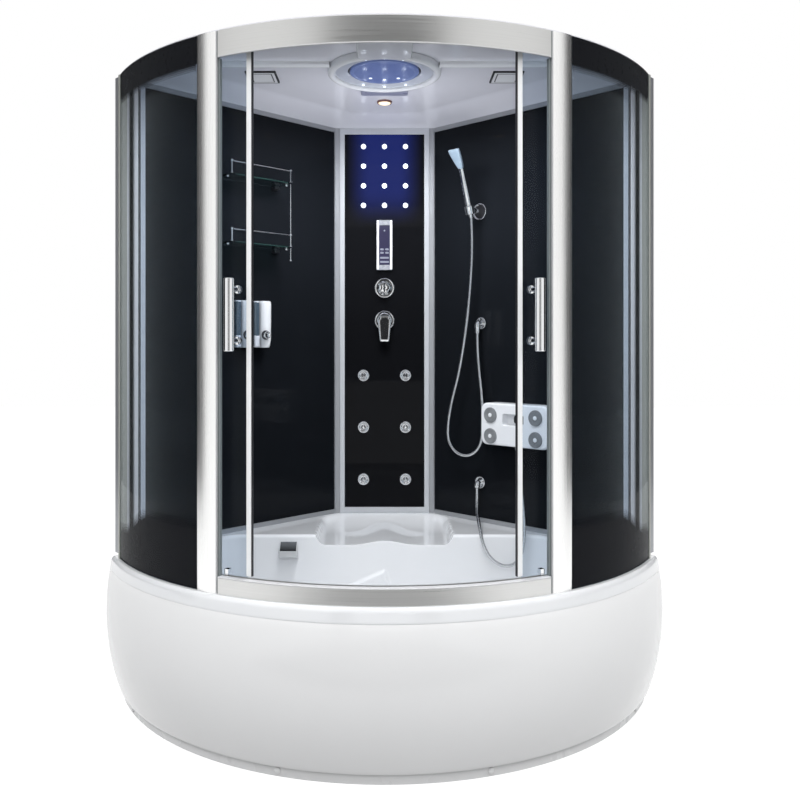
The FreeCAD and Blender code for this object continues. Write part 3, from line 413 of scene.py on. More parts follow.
# looks: name, two tones, range of roughness and scale of the grain; a single number is a grey
thin = (300, 300, 2.5)
finish = {
    "acrylic": surface("whiteAcrylic", (0.80, 0.81, 0.83), (0.84, 0.85, 0.86), (0.10, 0.16), 4.0, bump=0.03,
                       Coat_Weight=0.9, Coat_Roughness=0.03),
    "skirt": surface("apronAcrylic", 0.86, 0.89, (0.14, 0.22), 3.0, bump=0.03, Coat_Weight=0.3,
                     Coat_Roughness=0.08),
    "plinth": surface("plinthStrip", 0.80, 0.83, (0.22, 0.32), 3.0, bump=0.03),
    "railMetal": brushed("satinRail", (0.62, 0.62, 0.61), (0.75, 0.75, 0.74), (0.27, 0.40), 1.0, (3, 500, 500), 0.05),
    "postMetal": brushed("satinPost", (0.92, 0.92, 0.91), (0.98, 0.98, 0.97), (0.24, 0.34), 1.0, bump=0.05),
    "frameMetal": brushed("satinFrame", (0.66, 0.68, 0.71), (0.76, 0.78, 0.81), (0.30, 0.42), 0.55, thin),
    "wallMetal": brushed("greyFrame", (0.36, 0.37, 0.39), (0.44, 0.45, 0.47), (0.30, 0.42), 0.5, thin),
    # darker copy of the post metal: painted shade on the posts' returns and gap fillers
    "shadedPostReturn": brushed("shadedPostReturn", (0.22, 0.25, 0.255), (0.28, 0.31, 0.315), (0.35, 0.48), 0.4),
    "strip": brushed("wallStrip", (0.70, 0.71, 0.76), (0.78, 0.79, 0.84), (0.30, 0.42), 0.1, thin),
    "jamb": brushed("satinJamb", (0.40, 0.41, 0.38), (0.48, 0.49, 0.46), (0.34, 0.46), 0.2),
    "bead": surface("satinBead", (0.58, 0.58, 0.59), (0.66, 0.66, 0.67), (0.45, 0.55), 40.0, Metallic=0.2),
    "chrome": surface("polishedChrome", (0.80, 0.81, 0.82), (0.86, 0.87, 0.88), (0.03, 0.08), 14.0, Metallic=1.0),
    "hose": surface("woundHose", (0.66, 0.67, 0.68), (0.80, 0.81, 0.82), (0.14, 0.26), 90.0, Metallic=1.0),
    "sideGlass": clearGlass("tintedSideGlass", (0.70, 0.73, 0.75), (0.68, 0.72, 0.74), 1.07),
    "doorGlass": clearGlass("blueDoorGlass", (0.76, 0.82, 0.89), (0.74, 0.81, 0.88), 1.12),
    "glassEdge": surface("shelfGlassEdge", (0.022, 0.046, 0.044), (0.034, 0.066, 0.062), (0.10, 0.20), 20.0),
    "shelfGlass": clearGlass("shelfGlass", (0.72, 0.86, 0.84), (0.70, 0.84, 0.83)),
    "blackGlass": surface("blackWallGlass", (0.0070, 0.0080, 0.0100), (0.0085, 0.0100, 0.0125), (0.02, 0.05), 2.0,
                          Specular_IOR_Level=0.06),
    "frit": surface("blackFrit", (0.006, 0.006, 0.008), (0.010, 0.010, 0.012), (0.25, 0.35), 60.0,
                    Specular_IOR_Level=0.06),
    "roof": surface("roofShell", (0.79, 0.79, 0.84), (0.83, 0.83, 0.88), (0.16, 0.26), 4.0, bump=0.03,
                    Coat_Weight=0.3, Coat_Roughness=0.08),
    "ring": surface("showerRing", (0.56, 0.59, 0.65), (0.62, 0.65, 0.71), (0.14, 0.22), 8.0, Coat_Weight=0.4),
    "rim": surface("showerRim", (0.90, 0.91, 0.93), (0.94, 0.95, 0.96), (0.14, 0.22), 8.0, Coat_Weight=0.4),
    # darker copy of the spine's white plastic: painted shade on the spine's rear end behind the ring
    "stub": surface("ringStub", (0.25, 0.26, 0.35), (0.30, 0.31, 0.40), (0.24, 0.34), 20.0, Coat_Weight=0.2),
    "hood": surface("lampHood", (0.16, 0.07, 0.06), (0.22, 0.10, 0.09), (0.24, 0.34), 30.0),
    "panel": surface("massagePanel", (0.84, 0.85, 0.87), (0.88, 0.89, 0.91), (0.18, 0.28), 10.0, bump=0.04,
                     Coat_Weight=0.3),
    "pads": surface("ribbedPad", (0.20, 0.21, 0.22), (0.28, 0.29, 0.30), (0.40, 0.55), 80.0, bump=0.10),
    # near black: real black parts such as the seal's lip and the shelf brackets, and painted shade in the holder's
    # shadow, the grip hollow, the button wells and the drain mouth
    "dark": surface("blackPartsAndPaintedShade", (0.010, 0.010, 0.012), (0.020, 0.020, 0.023), (0.35, 0.5), 40.0),
    "card": surface("greyCard", 0.29, 0.34, (0.7, 0.8), 2.0),
    "floor": surface("paleFloor", 0.26, 0.28, (0.8, 0.9), 2.0),
    "spout": surface("spoutMetal", (0.50, 0.51, 0.52), (0.58, 0.59, 0.60), (0.38, 0.48), 20.0, Metallic=0.2),
    "seal": surface("sealStrip", (0.92, 0.93, 0.94), (0.95, 0.96, 0.96), (0.22, 0.34), 30.0, (1, 1, 0.1)),
    "dispenser": surface("dispenserShell", (0.76, 0.77, 0.79), (0.82, 0.83, 0.85), (0.12, 0.20), 12.0,
                         Coat_Weight=0.4),
    "window": surface("dispenserWindow", (0.050, 0.075, 0.100), (0.070, 0.100, 0.130), (0.06, 0.12), 14.0,
                      Coat_Weight=0.5),
    "bezel": surface("controlBezel", (0.29, 0.30, 0.33), (0.35, 0.36, 0.39), (0.20, 0.30), 20.0, Metallic=0.15),
    "head": surface("handsetHead", (0.17, 0.23, 0.28), (0.23, 0.29, 0.35), (0.18, 0.28), 26.0, Coat_Weight=0.3),
    "frameSteel": surface("paintedFrame", (0.50, 0.51, 0.52), (0.60, 0.61, 0.62), (0.38, 0.52), 30.0, bump=0.1),
    "footSteel": surface("footSteel", (0.48, 0.48, 0.49), (0.58, 0.58, 0.59), (0.25, 0.38), 60.0, Metallic=1.0),
    "brass": surface("brassPipe", (0.55, 0.42, 0.20), (0.66, 0.52, 0.27), (0.25, 0.40), 40.0, Metallic=1.0),
    "drain": surface("drainPlastic", (0.60, 0.61, 0.62), (0.68, 0.69, 0.70), (0.35, 0.48), 40.0, bump=0.05),
    "power": surface("powerCase", (0.020, 0.020, 0.022), (0.040, 0.040, 0.043), (0.40, 0.55), 90.0, bump=0.15),
    "wheel": surface("wheelNylon", (0.72, 0.72, 0.71), (0.80, 0.80, 0.79), (0.30, 0.42), 70.0),
    "led": glowing("ledLens", (0.80, 0.85, 1.0), (0.90, 0.93, 1.0), (0.1, 0.2), (0.80, 0.88, 1.0), 1.2),
    "warm": glowing("warmLamp", (0.9, 0.8, 0.6), (0.95, 0.85, 0.68), (0.2, 0.3), (1.0, 0.80, 0.50), 0.9),
    "key": glowing("keyStrip", (0.16, 0.17, 0.22), (0.20, 0.21, 0.26), (0.2, 0.3), (0.24, 0.25, 0.34), 0.25),
    "lens": glowing("rainLensGlow", (0.12, 0.16, 0.30), (0.17, 0.22, 0.38), (0.12, 0.2), (0.10, 0.14, 0.34), 0.45,
                    Coat_Weight=0.5),
    "screen": glowing("controlScreenGlow", (0.014, 0.013, 0.028), (0.020, 0.019, 0.040), (0.05, 0.1),
                      (0.050, 0.047, 0.095), 0.55, Coat_Weight=0.5),
}
print("finishes made:", len(finish))


def dress(look, *nodes):
    for node in nodes:
        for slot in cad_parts[node].material_slots:
            slot.material = finish[look]


# camera, world and lamps
studio = {
    "lens": 38.25, "sensor": 36, "place": (0, -3.138, 1.279), "shift": (0.0194, -0.0696), "ambient": 0.45,
    "ambientTone": (0.95, 0.97, 1, 1), "floorHalf": 14.0, "floorDrop": 0.0005, "floorGlow": 0.90,
}


# rays that see the white ground and floor: from the camera, in reflections and through glass
def seenRays(tree):
    path = addNode(tree, "LightPath").outputs
    seen = mathNode(tree, "MAXIMUM", path["Is Camera Ray"], path["Is Glossy Ray"])
    return mathNode(tree, "MAXIMUM", seen, path["Is Transmission Ray"])


def buildStudio():
    scene = bpy.context.scene
    scene.view_settings.view_transform = "Standard"
    camera = bpy.data.objects.new("photoCamera", bpy.data.cameras.new("photoCamera"))
    camera.data.lens, camera.data.sensor_width = studio["lens"], studio["sensor"]
    camera.data.shift_x, camera.data.shift_y = studio["shift"]
    camera.location = studio["place"]
    camera.rotation_euler = (math.pi / 2, 0, 0)
    scene.collection.objects.link(camera)
    scene.camera = camera
    scene.world = scene.world or bpy.data.worlds.new("studioWorld")
    scene.world.use_nodes = True
    tree = scene.world.node_tree
    tree.nodes.clear()
    soft = addNode(tree, "Background", {"Color": studio["ambientTone"], "Strength": studio["ambient"]})
    white = addNode(tree, "Background", {"Color": (1, 1, 1, 1)})
    mix = addNode(tree, "MixShader", {0: seenRays(tree), 1: soft.outputs[0], 2: white.outputs[0]})
    addNode(tree, "OutputWorld", {"Surface": mix.outputs[0]})


def addLamp(name, place, aim, size, power, tone=(1, 1, 1), spread=180):
    lamp = bpy.data.lights.new(name, "AREA")
    lamp.shape = "RECTANGLE"
    lamp.size, lamp.size_y = size
    lamp.energy, lamp.color, lamp.spread = power, tone, math.radians(spread)
    holder = bpy.data.objects.new(name, lamp)
    way = np.asarray(aim, float) - np.asarray(place, float)
    holder.location = place
    holder.rotation_euler = (math.atan2(np.hypot(way[0], way[1]), -way[2]), 0, math.atan2(-way[0], way[1]))
    bpy.context.collection.objects.link(holder)
    holder.visible_camera = holder.visible_glossy = holder.visible_transmission = False


# dark cards round the cabin, seen only in reflections, keep the glass clear and give metal its bands
def addCard(name, corners, look="dark"):
    card = addPiece(name, [patch(np.array(corners).reshape(2, 2, 3))], look, ride=False)
    card.visible_camera = card.visible_diffuse = card.visible_shadow = card.visible_transmission = False


def buildFloor():
    tree = finish["floor"].node_tree
    light = mathNode(tree, "MULTIPLY", seenRays(tree), studio["floorGlow"])
    glow = addNode(tree, "Emission", {"Strength": light})
    both = addNode(tree, "AddShader", {0: tree.nodes["Principled BSDF"].outputs[0], 1: glow.outputs[0]})
    tree.links.new(both.outputs[0], tree.nodes["Material Output"].inputs["Surface"])
    spread = np.linspace(-studio["floorHalf"], studio["floorHalf"], 5)
    points = xyz(spread[None, :], spread[:, None], -studio["floorDrop"])
    addPiece("studioFloor", [patch(points)], "floor", ride=False)


buildStudio()
addLamp("frontLamp", (-0.8, -4.6, 3.4), (0, 0, 1.0), (2.6, 2.6), 75)
addLamp("sideLamp", (3.6, -2.6, 2.6), (0, 0, 1.0), (2.0, 2.4), 25)
addLamp("topLamp", (0, -2.3, 4.4), (0, -1.0, 0.2), (3.0, 1.6), 17, spread=70)
addLamp("cabinLamp", (0, -0.1, 2.18), (0, -0.1, 0), (0.5, 0.4), 18, (0.95, 0.97, 1.0))
addLamp("crownLamp", (0, 0.02, 1.72), (0, 0.36, 2.20), (0.8, 0.2), 2.8, (0.92, 0.93, 1.0))
for side, word in sides:
    addLamp("skirtLamp" + word.capitalize(), (4.2 * side, -1.0, 3.4), (0.75 * side, -0.1, 0.45), (1.6, 1.6), 5,
            spread=50)
    addCard("sideCard" + word.capitalize(), [(2.5 * side, y, z) for z in (0.45, 4) for y in (-1.05, 4.0)])
for name, x0, x1, z0, z1, look in (("frontCard", -1.7, 1.7, 2.7, 5.0, "card"),
                                   ("middleCard", -0.42, 0.42, 0.9, 2.5, "dark"),
                                   ("stripCardLeft", -1.5, -0.85, 0.3, 2.7, "dark"),
                                   ("stripCardRight", 0.85, 1.5, 0.3, 2.7, "dark")):
    addCard(name, [(x, -4.5, z) for z in (z0, z1) for x in (x0, x1)], look)
addCard("floorCard", [(x, y, 0.002) for y in (-4.5, -1.3) for x in (-1.2, 1.2)], "card")
buildFloor()
print("studio ready")

# hoses
hoses = {
    "diameter": 0.014, "pitch": 0.0045, "rib": 0.0005, "around": 14, "perPitch": 7,
    "shower": [(0.263, 0.05849, 1.79866), (0.262, 0.050, 1.712), (0.256, 0.048, 1.592), (0.243, 0.050, 1.442),
               (0.221, 0.052, 1.292), (0.191, 0.053, 1.152), (0.152, 0.053, 1.037), (0.132, 0.052, 0.947),
               (0.130, 0.051, 0.881), (0.152, 0.049, 0.840), (0.192, 0.047, 0.817), (0.238, 0.044, 0.816),
               (0.278, 0.040, 0.840), (0.300, 0.036, 0.880), (0.303, 0.032, 0.960), (0.296, 0.0295, 1.060),
               (0.281, 0.028, 1.165), (0.271, 0.028, 1.255), (0.271, 0.028, 1.325)],
    "massageWall": [(0.266, 0.024, 0.684), (0.266, 0.024, 0.648)],
    "massage": [(0.382, 0.006, 0.615), (0.379, -0.030, 0.597), (0.375, -0.075, 0.589), (0.372, -0.126, 0.584),
                (0.369, -0.182, 0.574), (0.371, -0.226, 0.544), (0.381, -0.240, 0.502), (0.404, -0.240, 0.461),
                (0.439, -0.239, 0.434), (0.472, -0.237, 0.426), (0.503, -0.235, 0.436), (0.525, -0.231, 0.464),
                (0.537, -0.226, 0.512), (0.540, -0.219, 0.578), (0.537, -0.209, 0.650), (0.532, -0.193, 0.724),
                (0.527, -0.174, 0.790), (0.524, -0.165, 0.842)],
}


# points of a smooth spline that has the route as its control points
def splinePoints(name, route):
    curve = bpy.data.curves.new(name, "CURVE")
    curve.dimensions = "3D"
    curve.resolution_u = 16
    spline = curve.splines.new("NURBS")
    spline.points.add(len(route) - 1)
    spline.points.foreach_set("co", np.c_[route, np.ones(len(route))].ravel())
    spline.order_u = 3
    spline.use_endpoint_u = True
    guide = bpy.data.objects.new(name, curve)
    bpy.context.collection.objects.link(guide)
    bpy.context.view_layer.update()
    mesh = bpy.data.meshes.new_from_object(guide)
    points = np.zeros(len(mesh.vertices) * 3)
    mesh.vertices.foreach_get("co", points)
    bpy.data.objects.remove(guide)
    bpy.data.meshes.remove(mesh)
    return points.reshape(-1, 3)


# wound hose: the radius swells once per pitch along the line and once round it, which makes a helix
def woundHose(name, route, guide, node):
    line = splinePoints(name + "Line", route)
    run = np.r_[0, np.cumsum(np.linalg.norm(np.diff(line, axis=0), axis=1))]
    length, pitch = run[-1], hoses["pitch"]
    at = np.linspace(0, length, int(length / pitch * hoses["perPitch"]))
    path = np.stack([np.interp(at, run, line[:, k]) for k in range(3)], -1)
    fade = ease(0, hoses["diameter"], np.minimum(at, length - at))[:, None]
    swell = hoses["rib"] * fade * np.cos(2 * math.pi * at[:, None] / pitch - turns(hoses["around"])[None, :])
    tubing = pipe(path, hoses["diameter"] / 2 - hoses["rib"] + swell, hoses["around"], guide)
    piece = addPiece(name, [tubing], "hose", node, crease=60, ride=False)
    print(name, "length %.3f" % length)
    return piece, line, length


def buildHoses():
    route = onWall(1, *np.array(hoses["shower"]).T)
    piece, line, length = woundHose("showerHose", route, (-1, -1, 0), "shower_hose")
    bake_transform(piece)
    route = np.concatenate([onWall(1, *np.array(hoses["massageWall"]).T), onPlan(*np.array(hoses["massage"]).T)])
    piece, line, length = woundHose("massageHose", route, (1, 1, 1), "massage_hose")
    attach(piece, "cabin")


buildHoses()

# tub
tub = {
    "ledgeRadius": 1.030, "deckRadius": 1.026, "bulge": 1.100, "bulgeHeight": 0.340, "bulgeCurve": 0.900,
    "lipLow": 0.4815, "lipInner": 1.014, "skirtLow": 0.034, "basinRadius": 0.980, "margin": 0.045, "back": 0.206,
    "corner": 0.090, "floor": 0.130, "rim": 0.014, "wallLow": 0.300, "wallLean": 0.025, "floorRound": 0.110,
    "tubBack": 0.376, "seatHalf": 0.264, "seatFloor": 0.500, "seatStart": -0.024, "seatBack": 0.212, "seatCurve": 0.716,
    "seatRound": 0.120, "seatBend": 0.036, "humpHalf": 0.165, "hump": 0.0170, "drainBack": -0.420,
    "rearWall": (-0.32, -0.2), "crease": ((-0.213, 0.320), (0.002, 0.413), (0.037, 0.320)),
    "creaseDepth": 0.009, "creaseFade": (0.15, 0.26), "plinth": 1.033, "caps": (-57.2, -17.8, 17.8, 57.2),
}


def bulge(z):  # radius of the apron: one shallow arc, widest at the bulge height
    return tub["bulge"] - tub["bulgeCurve"] + np.sqrt(tub["bulgeCurve"] ** 2 - (z - tub["bulgeHeight"]) ** 2)


# basin outline at an inset: front arc, corner arc, side along the wall, rear corner arc, straight back
def basinLoop(inset):
    radius, corner = tub["basinRadius"] - inset, tub["corner"]
    side, back = cabin["wallDistance"] - tub["margin"] - inset, tub["back"] + inset
    turn = math.degrees(math.asin((side - corner) / (radius - corner))) - 45
    center = bow(0, 0, radius - corner, turn, turn, 1)[0]
    knee = np.array([side * root2 + back - corner * math.tan(math.pi / 8), -back - corner])
    bend, rear = bow(*center, corner, turn, 45, 18)[1:], bow(*knee, corner, 45, 90, 13)
    run = np.linspace(0, 1, 22)[1:-1, None]
    rest = np.linspace(rear[-1, 0], 0, 100)[1:]
    half = np.concatenate([bow(0, 0, radius, -90, turn, 70), bend, bend[-1] * (1 - run) + rear[0] * run, rear,
                           np.c_[rest, np.full(len(rest), -back)]])
    return np.concatenate([half, half[-2:0:-1] * (-1, 1)])


# seat surface: a flat tray with a low hump at its front; the floor rises in one arc to the back, and each side
# is a quarter round over the distance inside a rounded outline
def seatHeight(x, back):
    wide, deck, curve, bend = np.abs(x), cabin["deck"], tub["seatCurve"], tub["seatRound"]
    hump = (0.5 + 0.5 * np.cos(math.pi * np.minimum(wide / tub["humpHalf"], 1))) ** 1.7
    run = np.clip(back - tub["seatStart"], 0, tub["seatBack"] - tub["seatStart"])
    low, climb = tub["hump"] * hump, curve - np.sqrt(curve ** 2 - run ** 2)
    floor = tub["seatFloor"] + (low + climb + np.sqrt((low - climb) ** 2 + 0.004 ** 2)) / 2
    beyondX, beyondY = wide - tub["seatHalf"] + bend, back - tub["seatBack"] + bend
    inside = bend - np.hypot(np.maximum(beyondX, 0), np.maximum(beyondY, 0))
    inside -= np.minimum(np.maximum(beyondX, beyondY), 0)
    drop = np.sqrt(1 - (1 - np.clip(inside / tub["seatBend"], 0, 1)) ** 2)
    return deck + (floor - deck) * drop + 1.2 * np.maximum(-inside, 0) + (back < tub["rearWall"][0])


def buildTub():
    deck, rim, floor, low, lean = cabin["deck"], tub["rim"], tub["floor"], tub["wallLow"], tub["wallLean"]
    rimLoop, quarter = basinLoop(-rim), math.pi / 2
    way = rimLoop - cabin["middle"]
    way /= np.linalg.norm(way, axis=1)[:, None]
    edge = planLoop(way, tub["deckRadius"], cabin["wallDepth"], tub["tubBack"])
    rows = [(edge * k + rimLoop * (1 - k), deck) for k in np.linspace(1, 0, 44)]
    rows += [(basinLoop(rim * math.sin(a) - rim), deck - rim + rim * math.cos(a))
             for a in np.linspace(0, quarter, 10)[1:]]
    rows += [(basinLoop(lean * k), (deck - rim) * (1 - k) + low * k) for k in np.linspace(0, 1, 46)[1:]]
    rows += [(basinLoop(lean + tub["floorRound"] * (1 - math.cos(a))), low - (low - floor) * math.sin(a))
             for a in np.linspace(0, quarter, 16)[1:]]
    last, drain = rows[-1][0], np.array([0, tub["drainBack"]])
    rows += [(drain + (last - drain) * k, floor) for k in np.linspace(1, 0, 12)[1:]]
    x, back = np.moveaxis(np.stack([loop for loop, height in rows]), -1, 0)
    z = np.broadcast_to(np.array([height for loop, height in rows])[:, None], x.shape)
    z = np.where(z > low + 0.010, softLow(z, seatHeight(x, back), 0.010), z)
    (x0, z0), (x1, z1), (x2, z2) = tub["crease"]
    under = ease(0, 0.010, z0 + (x - x0) * (z1 - z0) / (x1 - x0) - z)
    left = ease(0, 0.012, x1 + (z1 - z) * (x2 - x1) / (z1 - z2) - x)
    wall = (back > tub["rearWall"][0]) & (back < tub["rearWall"][1])
    back = back - tub["creaseDepth"] * under * left * ease(*tub["creaseFade"], z) * wall
    ledge, lipLow, radius = cabin["ledge"], tub["lipLow"], tub["ledgeRadius"]
    lipFoot, lipTop, inner = bulge(lipLow), bulge(ledge), tub["lipInner"]
    rise = np.linspace(lipLow + 0.004, ledge - 0.010, 6)
    lip = np.concatenate([
        [(lipFoot - 0.004, lipLow), (lipFoot - 0.001, lipLow + 0.001)], np.c_[bulge(rise), rise],
        bow(lipTop - 0.010, ledge - 0.010, 0.010, 0, 90, 7)[1:],
        bow(radius + 0.006, ledge + 0.006, 0.006, -90, -180, 7),
        bow(radius - 0.005, deck - 0.005, 0.005, 0, 90, 7),
        [(inner, deck), (inner, deck - 0.008), (inner + 0.008, ledge - 0.008), (lipTop - 0.012, ledge - 0.009),
         (lipFoot - 0.008, lipLow)],
    ])
    addPiece("tubShell", [patch(onPlan(x, back, z), columns=True), wallToWall(lip)], "acrylic", "tub_shell",
             crease=50)
    rise = np.linspace(tub["skirtLow"] + 0.002, lipLow + 0.0005, 44)
    face = np.c_[bulge(rise) - 0.0012 * ease(lipLow - 0.010, lipLow - 0.002, rise), rise]
    foot = [(bulge(tub["skirtLow"]) - 0.002, tub["skirtLow"])]
    apron = np.concatenate([foot, face, np.c_[bulge(rise) - 0.004, rise][::-1]])
    addPiece("tubSkirt", [wallToWall(apron)], "skirt", "tub_skirt", crease=50)
    front = tub["plinth"]
    caps = [dome(0.0105, 0.0030, 0.0035, onArc(front, angle, 0.018), arcOut(angle), 28) for angle in tub["caps"]]
    strip = softBox(front - 0.005, front, 0, 0.050, 0.0012, 3)
    addPiece("plinthStrip", [wallToWall(strip)] + caps, "plinth", "plinth_strip")


buildTub()
print("tub built")

# rails, posts, jambs and wall frames; sections list radius and height
profiles = {
    "behindGlass": 1.0567, "inner": 1.031, "groove": (1.036, 1.044), "grooveDepth": 0.013, "wall": 0.004,
    "trackTop": 2.174, "trackDrop": 0.014, "trackInner": 1.036, "trackWidth": 0.004, "flange": 1.012,
    "frameBar": 0.026, "wallBar": 0.018, "cornerBar": 0.004, "jambBar": 0.040, "proud": 0.004, "wallStart": 0.006,
    "wallEnd": 1.024, "columnBar": 0.0215, "columnGlass": 0.174, "postInner": 1.046, "postBack": 1.0571,
    "gapFiller": (1.058, 1.062), "postEdge": (1.0585, 1.064), "railGap": 0.43, "lap": 0.03, "bead": 0.0026,
    "return": 0.45, "jambTrim": 0.45,
    "flatBead": ((1.0465, -0.001), (1.0645, -0.001), (1.0645, 0.0004), (1.0465, 0.0004)),
    "lips": ((0.985, 0.0005), (0.985, -0.001), (0.970, -0.001), (0.969, 0.007), (0.966, 0.009), (0.956, 0.009),
             (0.953, 0.007), (0.952, -0.001), (0.946, -0.001), (0.945, 0.003), (0.922, 0.003), (0.921, 0.0005),
             (0.921, -0.002), (0.985, -0.002)),
    "brightLip": ((0.990, 0.004), (1.022, 0.004), (1.022, 0.0055), (0.990, 0.0055)),
}


def bottomSection(outer):
    w, low, top = profiles["wall"], cabin["ledge"], cabin["railTop"]
    inner, (g0, g1), deep = profiles["inner"], profiles["groove"], profiles["grooveDepth"]
    web = top - deep - w
    return softLoop([(outer, low), (outer, top), (g1, top), (g1, top - deep), (g0, top - deep), (g0, top),
                     (inner, top), (inner, low), (inner + w, low), (inner + w, web), (outer - w, web),
                     (outer - w, low)],
                    np.array([1.0, 3.0, 1.0, 0.8, 0.8, 1.0, 1.5, 1.0, 0.5, 0.5, 0.5, 0.5]) / 1000, 4)


def topSection(outer):
    w, low, top, flange = profiles["wall"], cabin["headerLow"], cabin["headerTop"], profiles["flange"]
    track, t0 = profiles["trackTop"], profiles["trackInner"]
    shelfLow, t1 = track - profiles["trackDrop"], t0 + profiles["trackWidth"]
    return softLoop([(outer, low), (outer, top), (flange, top), (flange, top - w), (outer - w, top - w),
                     (outer - w, shelfLow + w), (t1, shelfLow + w), (t1, track), (t0, track), (t0, shelfLow),
                     (outer - w, shelfLow), (outer - w, low)],
                    np.array([1.2, 3.0, 1.0, 0.8, 0.8, 0.8, 0.8, 1.5, 1.5, 0.8, 0.5, 0.5]) / 1000, 4)


def railSpans(section):
    post, end = cabin["postStart"], cabin["jambStart"] - 0.1
    front, near, behind = post - profiles["railGap"], post - profiles["lap"], section(profiles["behindGlass"])
    return [arcBar(section(cabin["rail"]), -front, front, 90), arcBar(behind, near, end, 50),
            arcBar(behind, -end, -near, 50)]


# framed opening: a rounded bar section carried round four mitred corners
def frameRing(outer, inner, edge, place):
    bar = profiles["frameBar"]
    section = softBox(0, bar, -cabin["wallDepth"], 0, edge, 4)
    share, off = section[:, 0] / bar, section[:, 1] + profiles["proud"]
    (a0, a1, z0, z1), (b0, b1, y0, y1) = outer, inner
    corners = np.array([(a0, z0, b0, y0), (a1, z0, b1, y0), (a1, z1, b1, y1), (a0, z1, b0, y1)])
    along = corners[:, 0:1] + (corners[:, 2:3] - corners[:, 0:1]) * share
    height = corners[:, 1:2] + (corners[:, 3:4] - corners[:, 1:2]) * share
    return patch(place(along, np.broadcast_to(off, along.shape), height), rows=True, columns=True)


def buildRails():
    addPiece("bottomRail", railSpans(bottomSection), "railMetal", "bottom_rail")
    addPiece("headerRail", railSpans(topSection), "railMetal", "top_rail")
    a0, a1, outer, behind = cabin["postStart"], cabin["postEnd"], cabin["rail"], profiles["postBack"]
    low, high, railTop, headerLow = cabin["ledge"], cabin["headerTop"], cabin["railTop"], cabin["headerLow"]
    start, front, inner = a0 - profiles["return"], a0 - profiles["railGap"], profiles["postInner"]
    across = np.linspace(-1, 1, 33)
    nose = np.c_[(a0 + a1) / 2 + (a1 - a0) / 2 * across,
                 outer - 0.003 * across ** 2 - 0.0015 * np.abs(across) ** 24]
    face = np.concatenate([nose, [(a1, behind), (a0, behind)]])
    core = softPlan([(start, inner), (a1, inner), (a1, behind), (start, behind)], 0.0012, 3)
    r0, r1 = profiles["gapFiller"]
    gap = [(front - 0.1, r0), (a0 + 0.1, r0), (a0 + 0.1, r1), (front - 0.1, r1)]
    edge = softBox(a0 - 0.05, a0 + 0.12, *profiles["postEdge"], 0.0008, 3)
    faces, returns, beads = [], [], []
    for side, _ in sides:
        faces.append(arcPost(face, side, low, high))
        returns += [arcPost(core, side, railTop, headerLow), arcPost(gap, side, low, railTop),
                    arcPost(gap, side, headerLow, high)]
        beads.append(arcPost(edge, side, low, high))
    for z in (headerLow + 0.002, railTop - 0.002):
        beads.append(arcBar(bow(outer - 0.0015, z, profiles["bead"], 0, 330, 12), -front, front, 90))
    beads.append(arcBar(np.array(profiles["flatBead"]) + (0, railTop), -front, front, 90))
    addPiece("doorPosts", faces, "postMetal", "door_posts")
    # the returns take the darker copy of the post metal, painted shade
    addPiece("postReturns", returns, "shadedPostReturn")
    addPiece("railBeads", beads, "bead")

    inner, start = profiles["groove"][0], cabin["jambStart"]
    ends = [45 + math.degrees(math.asin((cabin["wallDistance"] - profiles["proud"]) / r)) for r in (outer, inner)]
    jamb = softPlan([(start, outer), (ends[0] - profiles["jambTrim"], outer), (ends[1], inner), (start, inner)],
                    0.002, 4)
    addPiece("rearJambs", [arcPost(jamb, side, low, high) for side, _ in sides], "jamb", "rear_jambs")

    bar, wide, corner = profiles["wallBar"], profiles["jambBar"], profiles["cornerBar"]
    s0, s1, z0, z1 = profiles["wallStart"], profiles["wallEnd"], cabin["deck"], cabin["headerTop"]
    inner = (s0 + corner, s1 - wide, z0 + bar, z1 - bar)
    lips, bright = np.array(profiles["lips"]), np.array(profiles["brightLip"])
    rings = [frameRing((s0, s1, z0, z1), inner, 0.0015, lambda s, off, z: onWall(side, s, off, z))
             for side, _ in sides]
    strips = [stack([(outline, a), (outline, b)], lambda s, off, z: onWall(side, s, off, z))
              for outline, a, b in ((lips, z0 + bar, z1 - bar), (bright, z0, z1)) for side, _ in sides]
    addPiece("wallFrames", rings, "wallMetal", "wall_frames")
    addPiece("wallLips", strips, "strip")

    bar, glass, proud, rear = (profiles["frameBar"], profiles["columnGlass"], profiles["proud"],
                               cabin["wallDepth"] * 2 / 3)
    half = glass + profiles["columnBar"]
    ring = frameRing((-half, half, z0, z1), (-glass, glass, z0 + bar, z1 - bar), 0.003, onColumn)
    corner = np.array([onColumn(half, proud, 0), onWall(1, s0, proud, 0), onWall(1, s0, proud - rear, 0),
                       onColumn(half, -rear, 0)])
    corner = softLoop(corner[:, :2], 0.001, 3)
    posts = [stack([(corner, z0), (corner, z1)], lambda x, y, z: xyz(side * x, y, z)) for side, _ in sides]
    addPiece("columnFrame", [ring], "frameMetal", "column_frame")
    addPiece("cornerProfiles", posts, "wallMetal")


buildRails()
print("rails and frames built")

# glass, doors and printed bands; a shape lists inner and outer radius, first and last angle
panes = {
    "fixed": (1.057, 1.063, cabin["postEnd"], cabin["jambStart"]), "door": (1.022, 1.028, 23.8, 54.2),
    "doorLow": 0.572, "doorTop": 2.205, "printRadius": (1.0576, 1.0579), "topPrint": (2.140, 2.2245, 4),
    "lowPrint": (0.5275, 0.627, 6), "pitch": 0.0065, "lowShadeRise": (58, 47, 0.080), "printEnd": 0.12,
    "seal": (1.018, 1.032, 22.7, 23.8), "sealLow": 0.582, "sealTop": 2.160, "sealLip": 0.14,
    "handleAngle": 25.67, "handleRadius": 0.0160, "handleReach": 1.071, "handleLow": 1.258, "handleTop": 1.477,
    "standoffs": (1.290, 1.445),
}


def pane(name, shape, low, high, side, node, look, body="cabin"):
    inner, outer, first, last = shape
    section = softBox(inner, outer, low, high, 0.0008, 2)
    angles = (first, last) if side > 0 else (-last, -first)
    addPiece(name, [arcBar(section, *angles, 64)], look, node, body)
